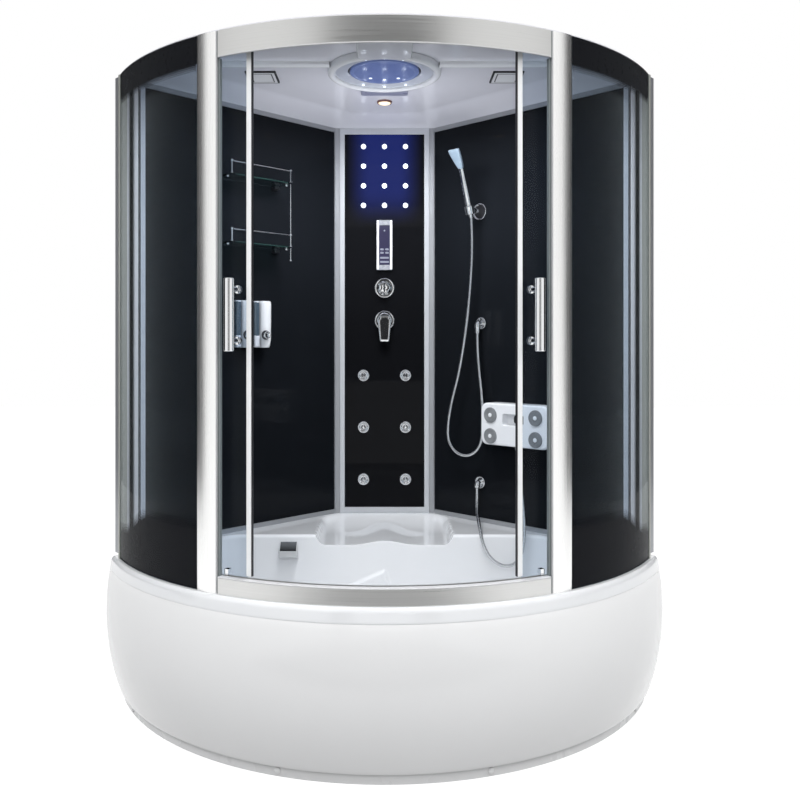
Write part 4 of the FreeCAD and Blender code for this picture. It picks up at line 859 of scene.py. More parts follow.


# printed band and rows of dots that shrink away from it, all inside the glass; towards the post the low band and its
# dots rise higher, painted shade over the deck seen through the glass
def printedBands(side, name):
    inner, outer = panes["printRadius"]
    first, last = panes["fixed"][2] + panes["printEnd"], panes["fixed"][3] - panes["printEnd"]
    angles, top, low, pitch = sorted((side * first, side * last)), panes["topPrint"], panes["lowPrint"], panes["pitch"]
    # painted shade: the low band and its dots rise towards the post
    begin, end, climb = panes["lowShadeRise"]
    lift = lambda angle: climb * ease(begin, end, np.abs(angle))
    around, radii, patches = np.linspace(*angles, 60)[:, None], np.array([[inner, outer, outer, inner]]), []
    for (start, stop, _), rise in ((top, 0), (low, lift(around))):
        levels = np.concatenate([np.full((60, 2), start), np.repeat(stop + rise + 0 * around, 2, axis=1)], axis=1)
        patches.append(tube(onArc(radii, around, levels)))
    addPiece(name, patches, "frit")
    step = math.degrees(pitch / outer)
    spread = np.arange(angles[0] + step, angles[1] - step, step)
    centers, sizes = [], []
    for start, way, count in ((top[0], -1, top[2]), (low[1], 1, low[2])):
        for row in range(count):
            shifted = spread + step / 2 * (row % 2)
            level = start + way * pitch * 0.866 * (row + 0.35)
            centers.append(np.c_[shifted, level + lift(shifted) * (way > 0)])
            sizes.append(np.full(len(spread), pitch * (0.50 - 0.34 * row / count)))
    centers, sizes, turn = np.concatenate(centers), np.concatenate(sizes)[:, None], turns(8)[None, :]
    around = centers[:, 0:1] + np.degrees(sizes * np.cos(turn) / outer)
    points = onArc(outer, around, centers[:, 1:2] + sizes * np.sin(turn)).reshape(-1, 3)
    mesh = bpy.data.meshes.new(name + "Dots")
    mesh.from_pydata(points.tolist(), [], np.arange(len(points)).reshape(-1, 8).tolist())
    dots = addObject(name + "Dots", mesh, "frit")
    dots.modifiers.new("thickness", "SOLIDIFY").thickness = 0.0003


def buildGlass():
    low, high, (inner, outer, first, last) = panes["sealLow"], panes["sealTop"], panes["seal"]
    lip, radius, reach = first + panes["sealLip"], panes["handleRadius"], panes["handleReach"]
    strip = softPlan([(lip, inner), (last, inner), (last, outer), (lip, outer)], 0.003, 5)
    edge = softPlan([(first, inner + 0.002), (lip + 0.05, inner + 0.002), (lip + 0.05, outer - 0.002),
                     (first, outer - 0.002)], 0.001, 3)
    behind, ahead = panes["door"][0] - 0.0003, panes["door"][1] + 0.0001
    for side, word in sides:
        tag, door, angle = word.capitalize(), "door_" + word, side * panes["handleAngle"]
        pane("fixedGlass" + tag, panes["fixed"], cabin["ledge"], cabin["headerTop"], side,
             "fixed_glass_" + word, "sideGlass")
        printedBands(side, "printedBands" + tag)
        pane("doorGlass" + tag, panes["door"], panes["doorLow"], panes["doorTop"], side,
             "door_glass_" + word, "doorGlass", door)
        addPiece("doorSeal" + tag, [arcPost(strip, side, low, high)], "seal", "door_seal_" + word, door)
        addPiece("sealLip" + tag, [arcPost(edge, side, low, high)], "dark", body=door)
        parts = [rod(onArc(reach, angle, panes["handleLow"]), onArc(reach, angle, panes["handleTop"]), radius,
                     0.003, 0.003, 48)]
        for z in panes["standoffs"]:
            parts += [rod(onArc(ahead, angle, z), onArc(reach - 0.006, angle, z), 0.008),
                      dome(0.0125, 0.0016, 0.0020, onArc(ahead, angle, z), arcOut(angle)),
                      dome(0.0125, 0.0020, 0.0035, onArc(behind, angle, z), -arcOut(angle))]
        addPiece("doorHandle" + tag, parts, "chrome", "door_handle_" + word, door)
        dress("chrome", "door_hangers_" + word)
        dress("wheel", "door_wheel_front_" + word, "door_wheel_rear_" + word)
        dress("blackGlass", "wall_glass_" + word)


buildGlass()
print("glass and doors built")

# roof
crown = {
    "ringBack": -0.495, "ringRadius": 0.200, "ringHeight": 0.027, "lens": 0.1225, "lensTop": 0.008, "lensThick": 0.007,
    "flange": 0.030, "slope": 0.150, "inset": 0.008, "wall": 0.005, "spine": (0.090, -0.860, -0.683, 0.030),
    "stub": (0.090, -0.307, -0.222, 0.016), "rib": (0.190, 0.590, -0.560, 0.020, 0.016), "ribFade": 0.03,
    "speaker": (0.443, -0.412, 0.055, 0.063, 0.006), "lamp": (-0.094, 0.030), "spotRadius": 0.156,
    "spots": (-24, 0, 24, 150, 180, 210), "lensSpots": ((-0.050, 0.056), (0, 0.072), (0.050, 0.056)),
}


# outline of the roof at an inset, found along fixed rays from its middle
def roofLoop(inset, way):
    margin = cabin["wallDepth"] - profiles["proud"] - inset
    return planLoop(way, cabin["rail"] - crown["inset"] - inset, margin, cabin["columnFace"] + margin)


def raised(place, outline, depth, edge, steps=4, start=0.0):
    return stack(slabRows(outline, depth, edge, steps, start), place)


# plate under the roof with a rounded lower edge
def roofSlab(x0, x1, b0, b1, deep, edge):
    outline = softRect(x1 - x0, b1 - b0, edge * 2) + ((x0 + x1) / 2, (b0 + b1) / 2)
    return raised(lambda x, back, h: onPlan(x, back, cabin["roof"] - h), outline, deep, edge)


def buildRoof():
    base, under, wall, flange = cabin["headerTop"], cabin["roof"], crown["wall"], crown["flange"]
    high, rise, angles = under + wall, flange + crown["slope"], turns(360)
    steps = [(rise + wall + 0.02, under), (rise + wall + 0.006, under - 0.0004), (rise + wall - 0.012, under - 0.0028),
             (flange + wall + 0.004, base + 0.0008), (flange + wall, base), (0, base), (0, base + wall),
             (flange - 0.006, base + wall), (flange + 0.006, base + wall + 0.0012), (rise - 0.012, high - 0.0028),
             (rise + 0.006, high - 0.0004), (rise + 0.02, high)]
    way, middle = np.c_[np.cos(angles), np.sin(angles)], np.tile(cabin["middle"], (360, 1))
    rows = [(middle, under)] + [(roofLoop(inset, way), z) for inset, z in steps] + [(middle, high)]
    points = np.stack([onPlan(loop[:, 0], loop[:, 1], z) for loop, z in rows])
    start, end, back, half, deep = crown["rib"]
    across, run = np.linspace(-1, 1, 13), np.linspace(start, end, 12)[:, None]
    fade = np.sqrt(np.clip((end - run) / crown["ribFade"], 0.02, 1))
    arch = fade * deep * np.sqrt(np.maximum(1 - across ** 2, 0))
    ribs = [tube(onPlan(side * run, back + half * across * fade, under + 0.0004 - arch)) for side, _ in sides]
    addPiece("roofShell", [patch(points, columns=True)], "roof", "roof_shell", crease=40)
    addPiece("roofRibs", ribs, "rim")

    radius, tall, lens = crown["ringRadius"], crown["ringHeight"], crown["lens"]
    center, ramp = onPlan(0, crown["ringBack"], under), np.linspace(0, 1, 9)[1:]
    dish = np.c_[radius - 0.026 - (radius - 0.027 - lens) * ramp, tall - 0.011 - (tall - 0.019) * ramp ** 0.8]
    ring = np.concatenate([[(lens + 0.0065, 0.0005), (radius - 0.002, 0.0005), (radius - 0.002, tall - 0.008)],
                           dish[:-1], dish[-1:] + (0.0055, 0.0015)])
    rim = np.concatenate([[(radius - 0.028, tall - 0.013), (radius - 0.028, 0.001), (radius, 0.001)],
                          bow(radius - 0.014, tall - 0.010, 0.014, 0, 180, 11, 0.010)])
    gap = [(lens + 0.0005, 0.0005), (lens + 0.0068, 0.0005), (lens + 0.0068, 0.006), (lens + 0.0005, 0.006)]
    for name, profile, look, node in (("ringRim", rim, "rim", None), ("ringGap", gap, "dark", None),
                                      ("rainHead", ring, "ring", "rain_head")):
        addPiece(name, [turned(profile, center, down, 96, True)], look, node)
    # the spine's rear end behind the ring takes the darker finish, painted shade
    for name, look, edge in (("spine", "rim", 0.006), ("stub", "stub", 0.004)):
        half, b0, b1, deep = crown[name]
        addPiece("ring" + name.capitalize(), [roofSlab(-half, half, b0, b1, deep, edge)], look)
    face = crown["lensTop"] + crown["lensThick"]
    disc = [(0, 0.004), (lens, 0.004), (lens, face - 0.002), (lens - 0.002, face), (lens - 0.012, face),
            (lens - 0.014, face - 0.001), (lens - 0.016, face), (0, face)]
    addPiece("rainLens", [turned(disc, center, down, 96)], "lens")
    away = crown["spotRadius"]
    spots = [dome(0.005, 0.001, 0.0025, center + (away * math.sin(turn), -away * math.cos(turn), -0.0145), down, 18)
             for turn in np.radians(crown["spots"])]
    spots += [dome(0.006, 0.0006, 0.001, center + (x, back, -face), down, 18) for x, back in crown["lensSpots"]]
    addPiece("ringLights", spots, "led")

    x, back, halfX, halfB, deep = crown["speaker"]
    plates, borders, outlines = [], [], []
    for side, _ in sides:
        for group, trim, drop in ((outlines, 0, 0), (borders, 0.006, 0.0004), (outlines, 0.015, 0.0008),
                                  (plates, 0.019, 0.0012)):
            wide, long = halfX - trim, halfB - trim
            group.append(roofSlab(side * x - wide, side * x + wide, back - long, back + long, deep + drop, 0.0012))
    lampBack, radius = crown["lamp"]
    place = onPlan(0, lampBack, under)
    hood = np.concatenate([[(0, 0), (radius, 0)], bow(radius - 0.003, 0.005, 0.003, 0, 90, 6),
                           [(radius - 0.006, 0.006), (0, 0.006)]])
    addPiece("roofFittings", borders, "rim", "roof_fittings")
    addPiece("speakerFrames", outlines, "dark")
    addPiece("speakerPlates", plates, "rim")
    addPiece("lampHood", [turned(hood, place, down)], "hood")
    addPiece("roofLamp", [dome(radius - 0.006, 0.007, 0.006, place, down, 36)], "warm")


buildRoof()
print("roof built")

# column; keys list x, height and width, lever sections list drop, half width and share of the thickness
column = {
    "lensRows": (2.146, 2.060, 1.974, 1.888), "lensColumns": (-0.092, 0, 0.092), "lensRadius": 0.011,
    "control": (1.713, 0.0345, 0.218, 0.014), "screen": (0.0235, 0.010), "signal": 1.776,
    "keys": ((0, 1.639, 0.040), (0, 1.657, 0.040), (-0.011, 1.679, 0.016), (0.011, 1.679, 0.016),
             (-0.011, 1.694, 0.016), (0.011, 1.694, 0.016)),
    "diverterZ": 1.526, "mixerZ": 1.383, "plate": 0.044, "knobStart": 0.0053, "diverter": (0.034, 0.006),
    "cap": (0.037, 0.028), "pivot": 0.016, "lever": (0.022, 0.012),
    "leverSections": ((-0.006, 0.018, 0.35), (-0.0045, 0.0217, 0.75), (0, 0.022, 1), (0.006, 0.022, 1),
                      (0.0115, 0.022, 1), (0.0125, 0.0280, 1), (0.020, 0.0290, 1), (0.050, 0.0265, 0.95),
                      (0.080, 0.0235, 0.92), (0.098, 0.0215, 1), (0.1055, 0.020, 0.85), (0.108, 0.016, 0.4)),
    "jetX": 0.092, "jetRows": (1.143, 0.916, 0.688), "jetRing": 0.026, "jetBall": 0.012, "jetCenter": 0.003,
    "jetTip": 0.016, "glowRise": (1.79, 1.96), "glowEdge": (0.175, 0.06),
}


# column glass: painted glow of the LEDs' light on its front, an emission that rises to the top and fades towards both
# edges
def glowGlass():
    material = surface("litColumnGlass", (0.0050, 0.0052, 0.0062), (0.0065, 0.0068, 0.0080), (0.02, 0.05), 2.0,
                       Specular_IOR_Level=0.06, Emission_Strength=1.0)
    tree = material.node_tree
    _, (x, y, z) = objectPlace(tree)
    mask = mathNode(tree, "LESS_THAN", y, cabin["axisY"] + cabin["columnFace"] + 0.002)
    for value, (start, end) in ((z, column["glowRise"]), (mathNode(tree, "ABSOLUTE", x), column["glowEdge"])):
        fade = addNode(tree, "MapRange", {"Value": value, "From Min": start, "From Max": end},
                       interpolation_type="SMOOTHSTEP")
        mask = mathNode(tree, "MULTIPLY", mask, fade.outputs[0])
    tone = mixTone(tree, mask, (0, 0, 0, 1), (0.010, 0.018, 0.13, 1))
    tree.links.new(tone, tree.nodes["Principled BSDF"].inputs["Emission Color"])
    return material


def buildControl():
    middle, half, length, depth = column["control"]
    screenHalf, floor = column["screen"]
    side = half - screenHalf
    outline = softRect(2 * half, length, 0.0025, 8) + (0, middle)
    hole = softRect(2 * screenHalf, length - 4 * side, 0.003, 8) + (0, middle)
    rows = slabRows(outline, depth, 0.0016, 5)
    rows += [(scaled(hole, 1.02), depth), (hole, depth - 0.0008), (hole, floor)]
    strip = softRect(side * 0.84, length - 0.004, 0.002)
    edges = [raised(offColumn, strip + (k * (half - side / 2), middle), depth + 0.0012, 0.0010, 3, depth - 0.002)
             for k, _ in sides]
    screen = raised(offColumn, scaled(hole, 0.99), floor + 0.002, 0.0006, 2, floor - 0.001)
    keys = [raised(offColumn, softRect(width, 0.0085, 0.004) + (x, z), floor + 0.0036, 0.0012, 3, floor + 0.001)
            for x, z, width in column["keys"]]
    keys.append(dome(0.004, 0.001, 0.001, onColumn(0, floor + 0.0015, column["signal"]), forward, 20))
    addPiece("controlUnit", [stack(rows, offColumn)], "bezel", "control_unit")
    addPiece("controlEdges", edges, "rim")
    addPiece("controlScreen", [screen], "screen")
    addPiece("controlKeys", keys, "key")


def buildJets():
    radius = column["plate"]
    plate = np.concatenate([[(0.0104, 0), (radius, 0)], bow(radius - 0.004, 0.001, 0.004, 0, 90, 6),
                            [(radius - 0.008, 0.0042), (0.0104, 0.0042)]])
    plates = [turned(plate, onColumn(0, 0, z), forward, 56, True) for z in (column["diverterZ"], column["mixerZ"])]
    radius = column["jetRing"]
    ring = np.concatenate([[(0.0128, 0), (radius, 0)], bow(radius - 0.004, 0.002, 0.004, 0, 180, 9),
                           [(0.0150, 0.0012), (0.0128, 0.0030)]])
    places = [(x, z) for z in column["jetRows"] for x in (-column["jetX"], column["jetX"])]
    plates += [turned(ring, onColumn(x, 0, z), forward, 40, True) for x, z in places]
    addPiece("escutcheons", plates, "chrome", "escutcheons")
    ball, tip = column["jetBall"], column["jetTip"]
    mouth = [(ball * 0.46, ball * 0.90), (ball * 0.34, tip), (ball * 0.22, tip), (ball * 0.20, tip - 0.004),
             (0, tip - 0.004)]
    nozzle = np.concatenate([bow(0, 0, ball, -90, 58, 14), mouth])
    for index, (x, z) in enumerate(places, 1):
        node = "jet_nozzle_%d" % index
        addPiece("jetNozzle%d" % index, [turned(nozzle, onColumn(x, column["jetCenter"], z), forward, 32)], "chrome",
                 node, node)


def buildMixer():
    start, z, (depth, rise) = column["knobStart"], column["diverterZ"], column["diverter"]
    stem = lambda level: rod(onColumn(0, -0.018, level), onColumn(0, 0.008, level), 0.010)
    turn = turns(120)[:, None]
    body = np.array([(0, 0), (0.030, 0), (0.032, 0.003), (0.031, 0.010), (0.026, 0.016), (0.025, 0.028),
                     (0.0235, 0.0325), (0.020, depth), (0, depth + 0.001)])
    r = body[:, 0] * (1 + 0.07 * np.cos(5 * turn) * ease(0.010, 0.018, body[:, 1]))
    knob = patch(onColumn(r * np.cos(turn), body[:, 1] + start, z + r * np.sin(turn)), rows=True)
    top = start + depth
    bar = raised(offColumn, softRect(0.008, 0.044, 0.0035) + (0, z), top + rise, 0.002, 4, top - 0.002)
    addPiece("diverterKnob", [knob, bar, stem(z)], "chrome", "diverter_knob", "diverter_knob")

    z, (radius, depth), (half, thick) = column["mixerZ"], column["cap"], column["lever"]
    top = start + depth
    cap = np.concatenate([[(0, start), (radius - 0.001, start), (radius, start + 0.001), (radius, start + 0.014)],
                          bow(radius - 0.010, top - 0.012, 0.010, 0, 90, 11, 0.012), [(0, top)]])
    pivotZ, pivotOff = z + column["pivot"], top + 0.0003 + thick / 2
    ear = softRect(0.004, thick, 0.0015, 3)
    ears = [raised(offColumn, ear + (side * (half + 0.0023), pivotZ), pivotOff + thick / 2, 0.0012, 3, start + 0.012)
            for side, _ in sides]
    pin = rod(onColumn(-half - 0.004, pivotOff, pivotZ), onColumn(half + 0.004, pivotOff, pivotZ), 0.0025)
    addPiece("mixerCap", [turned(cap, onColumn(0, 0, z), forward, 64), stem(z), pin] + ears, "chrome",
             "mixer_cap", "mixer_cap")
    drop, wide, full = np.array(column["leverSections"]).T[:, :, None]
    across, deep = signedPower(np.cos(turns(40)), 0.45), signedPower(np.sin(turns(40)), 0.7)
    off = pivotOff + deep * full * thick / 2 - 0.0015 * (1 - across ** 2) * (deep > 0)
    addPiece("mixerLever", [tube(onColumn(across * wide, off, pivotZ - drop))], "chrome", "mixer_lever",
             "mixer_lever")


finish["columnGlass"] = glowGlass()
dress("columnGlass", "column_glass")
addPiece("ledLenses", [dome(column["lensRadius"], 0.0022, 0.0018, onColumn(x, 0, z), forward, 24)
                       for x in column["lensColumns"] for z in column["lensRows"]], "led", "led_lenses")
buildControl()
buildJets()
buildMixer()
dress("brass", "water_manifold")
dress("power", "power_unit")
print("column built")

# right wall: handset, holder, elbows and massage panel; stations list place, half width and half depth
shower = {
    "along": 0.263, "off": 0.069, "z": 1.831, "tilt": 18, "headTilt": 35, "neck": 0.166, "cradle": 0.034,
    "handle": ((-0.034, 0.0075, 0.0075), (-0.033, 0.009, 0.009), (-0.021, 0.009, 0.009), (-0.020, 0.0086, 0.0086),
               (-0.012, 0.0105, 0.0105), (0, 0.0125, 0.0125), (0.020, 0.0132, 0.0132), (0.050, 0.0135, 0.0135),
               (0.095, 0.0122, 0.0118), (0.135, 0.0105, 0.0100), (0.166, 0.0098, 0.0085), (0.174, 0.0100, 0.0080),
               (0.179, 0.0090, 0.0072)),
    "fan": ((0.172, 0.0088, 0.0070), (0.174, 0.0110, 0.0076), (0.182, 0.0140, 0.0077), (0.198, 0.0185, 0.0078),
            (0.220, 0.0235, 0.0079), (0.240, 0.0262, 0.0080), (0.248, 0.0268, 0.0080), (0.253, 0.0266, 0.0074),
            (0.256, 0.0255, 0.0060)),
    "elbows": ((0.271, 0.028, 1.367, 0.042), (0.266, 0.024, 0.705, 0.021)), "elbowBend": 0.012,
    "elbowSize": ((0, 0.5, 0.80, 0.82, 1), (0.0115, 0.0125, 0.0115, 0.0100, 0.0092)),
    "panel": (0.321, 0.645, 0.875, 1.043, 0.070, 0.028), "grip": (0.430, 0.530, 0.958, 1.003, 0.034),
    "pads": ((0.371, 0.588), (0.995, 0.911), 0.031, 0.005), "padHub": 0.0095, "padPitch": 0.0055,
    "padRelief": 0.0026, "nipple": (0.009, 0.040),
}


def lean(length):  # place along the handset's axis
    tilt = math.radians(shower["tilt"])
    return onWall(1, shower["along"], shower["off"] + length * math.sin(tilt), shower["z"] + length * math.cos(tilt))


# handset: ellipse sections along a line that bends at the neck; widths are along the wall, depths off it
def handsetPatch(stations, power):
    at, wide, deep = np.array(stations).T[:, :, None]
    neck, tilt, headTilt = shower["neck"], math.radians(shower["tilt"]), math.radians(shower["headTilt"])
    base, beyond = np.minimum(at, neck), np.maximum(at - neck, 0)
    off = shower["off"] + base * math.sin(tilt) + beyond * math.sin(headTilt)
    z = shower["z"] + base * math.cos(tilt) + beyond * math.cos(headTilt)
    lead = np.where(at > neck, headTilt, tilt)
    along = shower["along"] + wide * signedPower(np.cos(turns(48)), power)
    push = deep * signedPower(np.sin(turns(48)), power)
    return tube(onWall(1, along, off + push * np.cos(lead), z - push * np.sin(lead)))


def buildShower():
    s, off, z, out = shower["along"], shower["off"], shower["z"], wallOut(1)
    addPiece("handShower", [handsetPatch(shower["handle"], 1.0)], "chrome", "hand_shower", "hand_shower", 60)
    addPiece("handsetHead", [handsetPatch(shower["fan"], 0.55)], "head", None, "hand_shower", 60)
    plate = np.concatenate([[(0, 0), (0.025, 0)], bow(0.0225, 0.0045, 0.0025, 0, 180, 9, 0.0035),
                            [(0.0185, 0.003), (0, 0.003)]])
    cup = np.array([(0.0139, -0.5), (0.0185, -0.5), (0.0195, -0.47), (0.020, -0.40), (0.020, 0.40), (0.0195, 0.47),
                    (0.0185, 0.5), (0.0139, 0.5)]) * (1, shower["cradle"])
    parts = [turned(plate + (0.010, 0) * (plate[:, :1] > 0), onWall(1, s, 0, z), out, 56),
             rod(onWall(1, s, 0.002, z), onWall(1, s, off - 0.016, z), 0.011),
             turned(cup, lean(0), lean(1) - lean(0), 48, True)]
    addPiece("handsetHolder", parts, "chrome", "handset_holder")
    addPiece("holderShadow", [dome(0.0285, 0.0032, 0.0006, onWall(1, s, 0, z), out, 36)], "dark")

    arc, guide, parts = shower["elbowBend"], onWall(1, 1, 0, 0) - onWall(1, 0, 0, 0), []
    for s, off, z, drop in shower["elbows"]:
        bend, end = bow(off - arc, z - arc, arc, 90, 0, 12)[1:], z - drop
        path = np.concatenate([onWall(1, s, np.linspace(0.002, off - arc, 4), z), onWall(1, s, bend[:, 0], bend[:, 1]),
                               onWall(1, s, off, np.linspace(z - arc, end, 8))[1:]])
        size = np.interp(np.linspace(0, 1, len(path)), *shower["elbowSize"])
        parts += [turned(plate, onWall(1, s, 0, z), out, 44), pipe(path, size[:, None], 28, guide),
                  rod(onWall(1, s, off, end), onWall(1, s, off, end + 0.012), 0.0105)]
    addPiece("hoseElbows", parts, "chrome", "hose_elbows")


# massage panel: outline raised with a rounded edge, then turned in at the grip and down to its floor
def buildPanel():
    s0, s1, z0, z1, depth, corner = shower["panel"]
    g0, g1, y0, y1, gripDepth = shower["grip"]
    floor, out, place = depth - gripDepth, wallOut(1), offWall(1)
    grip = softBox(g0, g1, y0, y1, 0.009, 10)
    rows = slabRows(softBox(s0, s1, z0, z1, corner, 10), depth, 0.007, 7)
    rows += [(scaled(grip, 1.05), depth), (scaled(grip, 1.01), depth - 0.0012), (grip, depth - 0.004), (grip, floor)]
    end, before = onPlan(*hoses["massage"][-1]), onPlan(*hoses["massage"][-2])
    way, (radius, length) = (end - before) / np.linalg.norm(end - before), shower["nipple"]
    addPiece("massagePanel", [stack(rows, place), rod(end, end + way * length, radius)], "panel",
             "massage_panel")
    # painted shade: a dark slab on the grip's floor where its hollow lies in shade
    hollow = softRect(0.056, 0.034, 0.012) + (g1 - 0.040, (y0 + y1) / 2)
    addPiece("gripHollowShade", [raised(place, hollow, floor + 0.0016, 0.0006, 2, floor - 0.002)], "dark")
    along, levels, radius, thick = shower["pads"]
    turn, start, relief = turns(144)[:, None], shower["padHub"], shower["padRelief"]
    r = np.linspace(start, radius - 0.002, 34)
    ridge = 0.5 + 0.5 * np.cos(2 * math.pi * (r - start) / shower["padPitch"])
    nub = 0.5 + 0.5 * np.cos(30 * turn)
    height, flat = thick - relief + relief * ridge * (0.35 + 0.65 * nub), np.ones_like(turn)
    r = np.concatenate([[0], r, [radius - 0.0005, radius, radius, 0]])
    height = np.concatenate([flat * (thick - 0.002), height, flat * [thick - 0.001, thick - 0.002, 0, 0]], axis=1)
    pads, hubs = [], []
    for s in along:
        for z in levels:
            pads.append(patch(onWall(1, s + r * np.cos(turn), depth + height, z + r * np.sin(turn)), rows=True))
            hubs.append(dome(0.0085, 0.0016, 0.0016, onWall(1, s, depth + thick - 0.002, z), out, 28))
    addPiece("massagePads", pads, "pads", "massage_pads", crease=70)
    addPiece("massageHubs", hubs, "panel")


buildShower()
buildPanel()
print("right wall built")

# left wall: shelves and soap dispensers; cover sections list height and share of the width
shelf = {
    "start": 0.325, "end": 0.620, "depth": 0.104, "levels": (1.924, 1.666), "glass": 0.006, "rise": 0.046,
    "rod": 0.0024, "clamp": 0.070, "corner": 0.022, "margin": 0.006, "below": 0.052, "bracket": (0.024, 0.014),
    "soap": ((0.4245, 0.5125), 0.085, 1.266, 1.452, 0.058), "button": (0.015, 0.008, 0.012, 1.316), "window": 0.024,
    "cover": ((0, 0.70), (0.003, 0.78), (0.010, 0.84), (0.030, 0.95), (0.156, 1), (0.170, 1), (0.180, 0.97),
              (0.185, 0.90), (0.186, 0.82)), "coverEdge": 0.018,
}


def onLeft(along, off, z):
    return onWall(-1, along, off, z)


def buildShelves():
    s0, s1, depth, r, glass = shelf["start"], shelf["end"], shelf["depth"], shelf["rod"], shelf["glass"]
    first, last, front = s0 + shelf["margin"], s1 - shelf["margin"], depth - shelf["margin"]
    corner, (long, tall) = shelf["corner"], shelf["bracket"]
    plates, rack, brackets, edges = [], [], [], []
    outline = softBox(s0, s1, 0.0005, depth, np.array([0.002, 0.002, corner, corner]), 8)
    for z in shelf["levels"]:
        base, top, edge = z + glass, z + glass + shelf["rise"], (depth - 0.0030, z + glass / 2)
        plates.append(raised(lambda s, off, h: onLeft(s, off, z + h), outline, glass, 0.0012, 3))
        edges.append(rod(onLeft(s0 + corner, *edge), onLeft(s1 - corner, *edge), 0.0022))
        rack.append(rod(onLeft(first, front, top), onLeft(last, front, top), r, 0.001, 0.001, 20))
        for s in (first, last):
            rack += [rod(onLeft(s, front, base), onLeft(s, front, top + r), r + 0.0006, 0.001, 0.003, 20),
                     dome(0.0075, 0.002, 0.002, onLeft(s, front, base), up, 24),
                     dome(0.0065, 0.004, 0.005, onLeft(s, front, top - 0.002), up, 24),
                     dome(0.0065, 0.003, 0.004, onLeft(s, shelf["clamp"], z), down, 24)]
            box = softRect(long, tall, 0.004) + (s + 0.009, z - tall / 2)
            brackets.append(raised(offWall(-1), box, long, 0.003))
    high, low = shelf["levels"]
    foot = onLeft(first, front, low - shelf["below"])
    rack += [rod(onLeft(first, front, low + glass + shelf["rise"] + r), onLeft(first, front, high), r, steps=20),
             rod(foot, onLeft(first, front, low), r, steps=20), dome(0.006, 0.003, 0.003, foot, up, 20)]
    addPiece("shelfPlates", plates, "shelfGlass", "shelf_plates")
    addPiece("shelfRack", rack, "chrome", "shelf_rack")
    addPiece("shelfEdges", edges, "glassEdge")
    addPiece("shelfBrackets", brackets, "dark")


# dispenser: a half round cover beside a flat window, both on one back
def buildDispensers():
    centers, width, low, high, depth = shelf["soap"]
    radius, travel, proud, buttonZ = shelf["button"]
    out, place, window, brim = wallOut(-1), offWall(-1), shelf["window"], shelf["coverEdge"]
    tall, wide = np.array(shelf["cover"]).T[:, :, None]
    across, reach = np.linspace(-1, 1, 25), travel + proud
    shell = brim + (depth - brim) * np.sqrt(np.maximum(1 - across ** 2, 0)) ** 0.8 * wide ** 0.6
    off = np.concatenate([shell, np.zeros_like(shell)], axis=1)
    # painted shade: a dark well round each button where its hole lies in shade
    well = rodProfile(radius + 0.0035, 0.006, 0.001, 0.002)
    button = np.concatenate([rodProfile(radius, reach - 0.001, 0.001, 0.003)[:-1],
                             [(0.008, reach - 0.003), (0, reach - 0.0034)]])
    covers, windows, wells, trims = [], [], [], []
    for center, (_, word) in zip(centers, sides):
        start, edge = center - width / 2, center + width / 2 - window - 0.002
        s = (start + edge) / 2 + across * wide * (edge - start) / 2
        covers.append(tube(onLeft(np.concatenate([s, s[:, ::-1]], axis=1), off, low + tall)))
        middle = edge + 0.002 + window / 2
        box = softRect(window, high - low - 0.004, 0.006) + (middle, (low + high) / 2)
        windows.append(raised(place, box, depth - 0.014, 0.006, 5))
        for size, level in ((0.048, low + 0.025), (0.006, high - 0.004)):
            trims.append(raised(place, softRect(window, size, 0.002) + (middle, level), depth - 0.0125, 0.006, 5))
        wells.append(turned(well, onLeft(center, depth - 0.0045, buttonZ), out, 36))
        node = "dispenser_button_" + word
        addPiece("dispenserButton" + word.capitalize(), [turned(button, onLeft(center, depth - travel, buttonZ), out)],
                 "chrome", node, node)
    addPiece("soapDispensers", covers, "dispenser", "soap_dispensers")
    addPiece("soapWindows", windows, "window")
    addPiece("soapTrims", trims, "ring")
    addPiece("buttonWellShade", wells, "dark")


buildShelves()
buildDispensers()
print("left wall built")

# spout, drain and the parts under the tub
spout = {"x": -0.370, "half": 0.035, "top": 0.517, "tall": 0.064, "reach": 0.040, "lip": 0.010, "slope": 0.032}
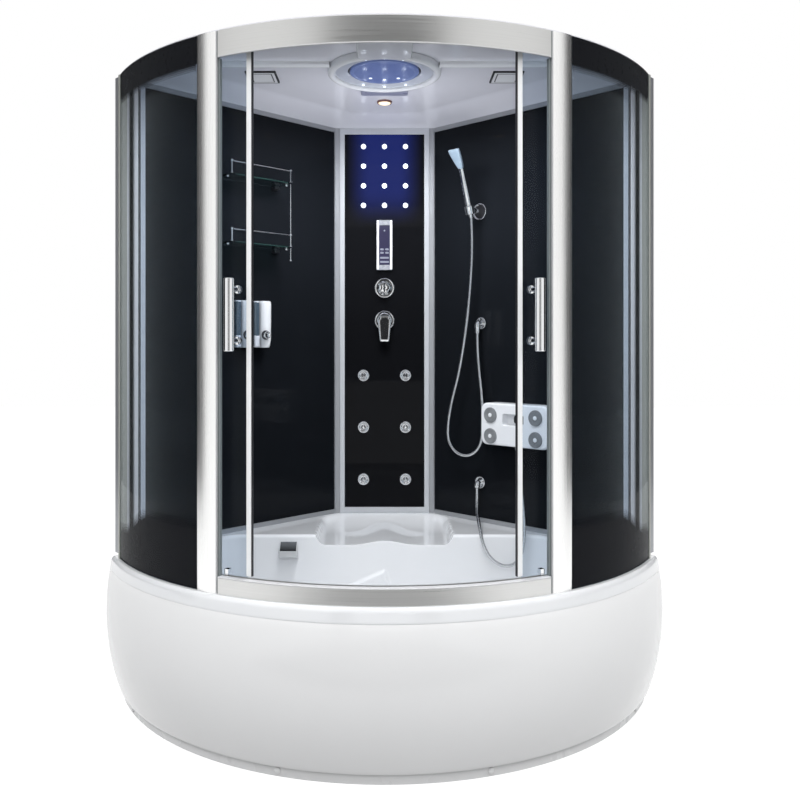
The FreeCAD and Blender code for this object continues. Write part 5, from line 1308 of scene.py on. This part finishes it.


# spout face: painted reflection, a dark sheet on the spout's slope, darkest at its front edge and lighter towards the
# wall
def paintedSpoutReflection():
    material = surface("spoutReflectionSheet", (0.020, 0.021, 0.023), (0.030, 0.031, 0.034), (0.14, 0.24), 20.0, Metallic=0.6)
    tree = material.node_tree
    base = tree.nodes["Principled BSDF"].inputs["Base Color"]
    height = objectPlace(tree)[1][2]
    rise = addNode(tree, "MapRange", {"Value": height, "From Min": spout["top"] - spout["slope"] * 0.9,
                                      "From Max": spout["top"]})
    tree.links.new(mixTone(tree, rise.outputs[0], base.links[0].from_socket, (0.24, 0.25, 0.26, 1)), base)
    return material


def wallBack(z):  # the basin's rear wall, which leans forward as it goes down
    return -tub["back"] - tub["wallLean"] * (cabin["deck"] - z) / (cabin["deck"] - tub["wallLow"])


def buildSpout():
    top, low, half = spout["top"], spout["top"] - spout["tall"], spout["half"]
    reach, slope, rear, foot = spout["reach"], spout["slope"], wallBack(top), wallBack(low)
    outline = softLoop([(rear, top), (foot, low), (foot - reach, low + spout["lip"]), (rear - reach, top - slope)],
                       0.003, 4)
    rows = [(-half, 0.93), (-half + 0.001, 0.97), (-half + 0.003, 1), (half - 0.003, 1), (half - 0.001, 0.97),
            (half, 0.93)]
    body = stack([(scaled(outline, share), spout["x"] + x) for x, share in rows], lambda back, z, x: onPlan(x, back, z))
    addPiece("waterfallSpout", [body], "spout", "waterfall_spout")
    # painted reflection: the dark sheet laid just over the spout's slope
    x, away = np.array([-half + 0.004, half - 0.004]), np.linspace(0.08, 0.94, 6)[:, None]
    face = onPlan(spout["x"] + x, rear - reach * away - 0.0004, top - slope * away + 0.0005)
    addPiece("spoutReflectionSheet", [patch(face)], "spoutReflectionSheet")


def buildDrain():
    center = onPlan(0, tub["drainBack"], tub["floor"])
    plug = np.concatenate([[(0, -0.008), (0.005, -0.008), (0.005, 0.0043), (0.0315, 0.0043)],
                           bow(0, 0.0058, 0.032, 0, 90, 8, 0.0035)])
    collar = [(0.0225, 0), (0.036, 0), (0.0358, 0.0015), (0.034, 0.0036), (0.030, 0.004), (0.0225, 0.0036)]
    mouth = [(0, 0.0003), (0.0224, 0.0003), (0.0224, 0.0010), (0, 0.0010)]
    addPiece("drainPlug", [turned(plug, center, up, 48)], "chrome", "drain_plug", "drain_plug")
    addPiece("drainCollar", [turned(collar, center + (0, 0, 0.0001), up, 56, True)], "chrome")
    # painted shade: a dark disc in the drain's mouth under the plug
    addPiece("drainMouthShade", [turned(mouth, center, up, 56)], "dark")


finish["spoutReflectionSheet"] = paintedSpoutReflection()
buildSpout()
buildDrain()
dress("drain", "drain_fitting")
dress("frameSteel", "tub_frame")
dress("footSteel", "leveling_feet")
print("tub fittings built")
